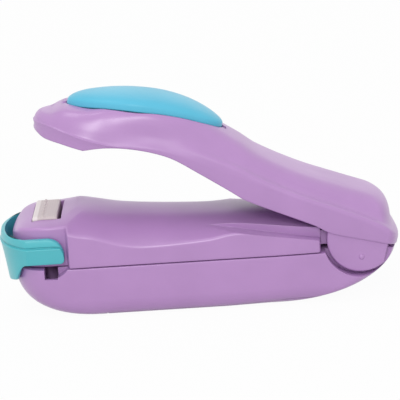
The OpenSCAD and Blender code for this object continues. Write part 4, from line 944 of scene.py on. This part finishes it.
# Latch: a bail moulded in teal ABS that swings round the nose on two trunnions. A broad tab hangs from its front
# for the thumb, a groove runs round its outside, and its ends are rounded beside the body.
latch_reach, latch_t, latch_h, tab_l = 3.7, 1.6, 6.8, 6.4
latch_in, latch_out = nose_half_w + 0.4, nose_half_w + 2.5
latch_low = pivot_z - 2.6
latch_top = latch_low + latch_h
latch_tail, latch_tail_l, latch_corner = pivot_x + latch_tail_r - 0.3, 4.2, 1.2
latch_bend, tab_half, latch_steps = 8.0, latch_out - 4.3, 44
front_x = nose_x - latch_reach
latch_ends = latch_tail - latch_tail_l * (1 - np.cos(np.radians(np.linspace(0, 90, 16))))


def latch_line(front, half, bend, corner):
    a = math.radians(corner) * np.linspace(1, 0, latch_steps + 1)
    nose_line = np.stack([front + bend * (1 - np.cos(a)) / (1 - np.cos(a[0])), half * np.sin(a) / np.sin(a[0])], 1)
    side = np.concatenate([np.stack([latch_ends, half + 0 * latch_ends], 1), nose_line])
    return np.concatenate([side, side[-2::-1] * (1, -1)])


def latch_roof(x):
    u = min(max((x - latch_tail + latch_tail_l) / latch_tail_l, 0), 1)
    return lerp(pivot_z, latch_top, math.sqrt(1 - u * u))


def latch_floor(x, y):
    share, u = min(abs(y) / tab_half, 1), min(max((x - latch_tail) / latch_corner + 1, 0), 1)
    heel = 0.9 * latch_corner * (1 - math.sqrt(1 - u * u))
    return latch_low + heel - tab_l * (1 - 0.25 * share ** 2) * (1 - float(ease(tab_half, latch_out, abs(y))))


def latch_section(o, i):
    across = float(np.linalg.norm(i - o))
    n = (i - o) / across
    lean = lerp(0.3, 2.0, 1 - abs(o[1]) / latch_out)
    top, low = latch_roof(o[0]), latch_floor(o[0], o[1])
    belly = min(latch_low + 0.62 * latch_h, top - 0.9)
    lip = min(belly + 0.25, top - 0.6)
    bulge = [(lean * (1 - t) ** 0.8, lerp(low + 0.4, belly, t)) for t in (0.2, 0.45, 0.65, 0.8, 0.9)]
    points = [(lean + 0.4, low), (lean + 0.1, low + 0.1), (lean, low + 0.4), *bulge, (0, belly - 0.08), (0.06, belly),
              (0.62, lip), (0.62, lerp(lip, top, 0.08)), (0.3, lerp(lip, top, 0.2)), (0.36, lerp(lip, top, 0.6)),
              (0.6, top - 0.2), (1.1, top),
              (across - 0.3, top), (across - 0.05, top - 0.1), (across, top - 0.35),
              (across + lean * 0.94, low + 0.4), (across + lean - 0.1, low + 0.1), (across + lean - 0.4, low)]
    return [(o[0] + n[0] * d, o[1] + n[1] * d, z) for d, z in points]


latch_outer = latch_line(front_x, latch_out, latch_bend, 62)
latch_inner = latch_line(front_x + latch_t, latch_in, latch_bend - 1.9, 80)
latch_rows = [latch_section(o, i) for o, i in zip(latch_outer, latch_inner)]
m = len(latch_rows[0])
latch_faces = wall_faces(len(latch_rows), m)
latch_faces += [tuple(range(m))[::-1], tuple(range((len(latch_rows) - 1) * m, len(latch_rows) * m))]
latch_bail = solid([p for row in latch_rows for p in row], latch_faces)
trunnion_in, trunnion_out = nose_half_w - wall, latch_in + 0.6
combine(latch_bail, "UNION", both_sides(lambda: rod(pivot_x, pivot_z, trunnion_r, trunnion_in, trunnion_out)))
teal_abs = moulded("teal_abs_moulded", "#50B9C3", "#4BB4BE", 0.3)
finished(latch_bail, "latch_bail_loop", teal_abs, 28)
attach(latch_bail, "latch")
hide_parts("latch_bail")

# Floor: a plain white studio table, matt and wide. The camera sees it lit to white, and the object's shadow still
# falls on it.
floor_mesh = bpy.data.meshes.new("studio_floor")
reach = 2.0
corners = [(-reach, -reach, 0), (reach, -reach, 0), (reach, reach, 0), (-reach, reach, 0)]
floor_mesh.from_pydata(corners, [], [(0, 1, 2, 3)])
floor = in_scene("studio_floor", floor_mesh)
table, tree, shader, place = new_material("white_table", Base_Color=linear("#DADADA"), Roughness=0.9)


def seen_directly(tree, level):
    rays = add(tree, "ShaderNodeLightPath").outputs
    seen = rays["Is Camera Ray"]
    for kind in ("Is Glossy Ray", "Is Transmission Ray"):
        seen = add(tree, "ShaderNodeMath", {"operation": "MAXIMUM", 0: seen, 1: rays[kind]}).outputs["Value"]
    return add(tree, "ShaderNodeMapRange", {"To Min": level[0], "To Max": level[1]}, Value=seen).outputs["Result"]


glow = add(tree, "ShaderNodeEmission", {"Color": (1, 1, 1, 1), "Strength": 1.0})
add(tree, "ShaderNodeMixShader", {1: shader.outputs["BSDF"], 2: glow.outputs["Emission"]},
    tree.nodes["Material Output"].inputs["Surface"], Fac=seen_directly(tree, (0.0, 0.96)))
floor_mesh.materials.append(table)

# Light: a white tent that lights all sides at a plain level. A tall soft box in front draws the highlights, a round
# one hangs high on the latch's side and a faint one stands behind.
scene = bpy.context.scene
scene.view_settings.view_transform = "Standard"
world = bpy.data.worlds.new("studio")
world.use_nodes = True
scene.world = world
tree = world.node_tree
surround = tree.nodes["Background"]
surround.inputs["Color"].default_value = (1, 1, 1, 1)
tree.links.new(seen_directly(tree, (0.8, 1.0)), surround.inputs["Strength"])


def soft_box(name, place, wide, tall, power):
    lamp = bpy.data.lights.new(name, "AREA")
    lamp.shape, lamp.size, lamp.size_y, lamp.energy = "ELLIPSE", wide, tall, power
    aim = Vector(place) - Vector(lit_point)
    in_scene(name, lamp).matrix_world = Matrix.Translation(place) @ aim.to_track_quat("Z", "Y").to_matrix().to_4x4()


lit_point = (0, 0, 0.03)
soft_box("key_box", (-0.25, -0.12, 0.8), 0.3, 0.3, 0.8)
soft_box("strip_box", (-0.08, -0.78, 0.5), 0.12, 0.4, 2.2)
soft_box("back_box", (0.1, 0.8, 0.45), 0.6, 0.6, 0.2)

# Camera: a long lens that faces the sealer's side from a little above and is rolled a few degrees, as in the
# photograph.
eye_height, eye_distance, view_x = 0.15368, 0.46254, 0.0009
down, roll = math.radians(15.5), math.radians(3.6)
forward = np.array((0, math.cos(down), -math.sin(down)))
right, up = np.array((1.0, 0, 0)), np.array((0, math.sin(down), math.cos(down)))
right, up = math.cos(roll) * right - math.sin(roll) * up, math.sin(roll) * right + math.cos(roll) * up
camera = in_scene("camera", bpy.data.cameras.new("camera"))
camera.data.lens, camera.data.sensor_width = 163.0, 36.0
camera.data.clip_start = 0.01
eye = (view_x, -eye_distance, eye_height)
camera.matrix_world = Matrix([(right[i], up[i], -forward[i], eye[i]) for i in range(3)] + [(0, 0, 0, 1)])
scene.camera = camera
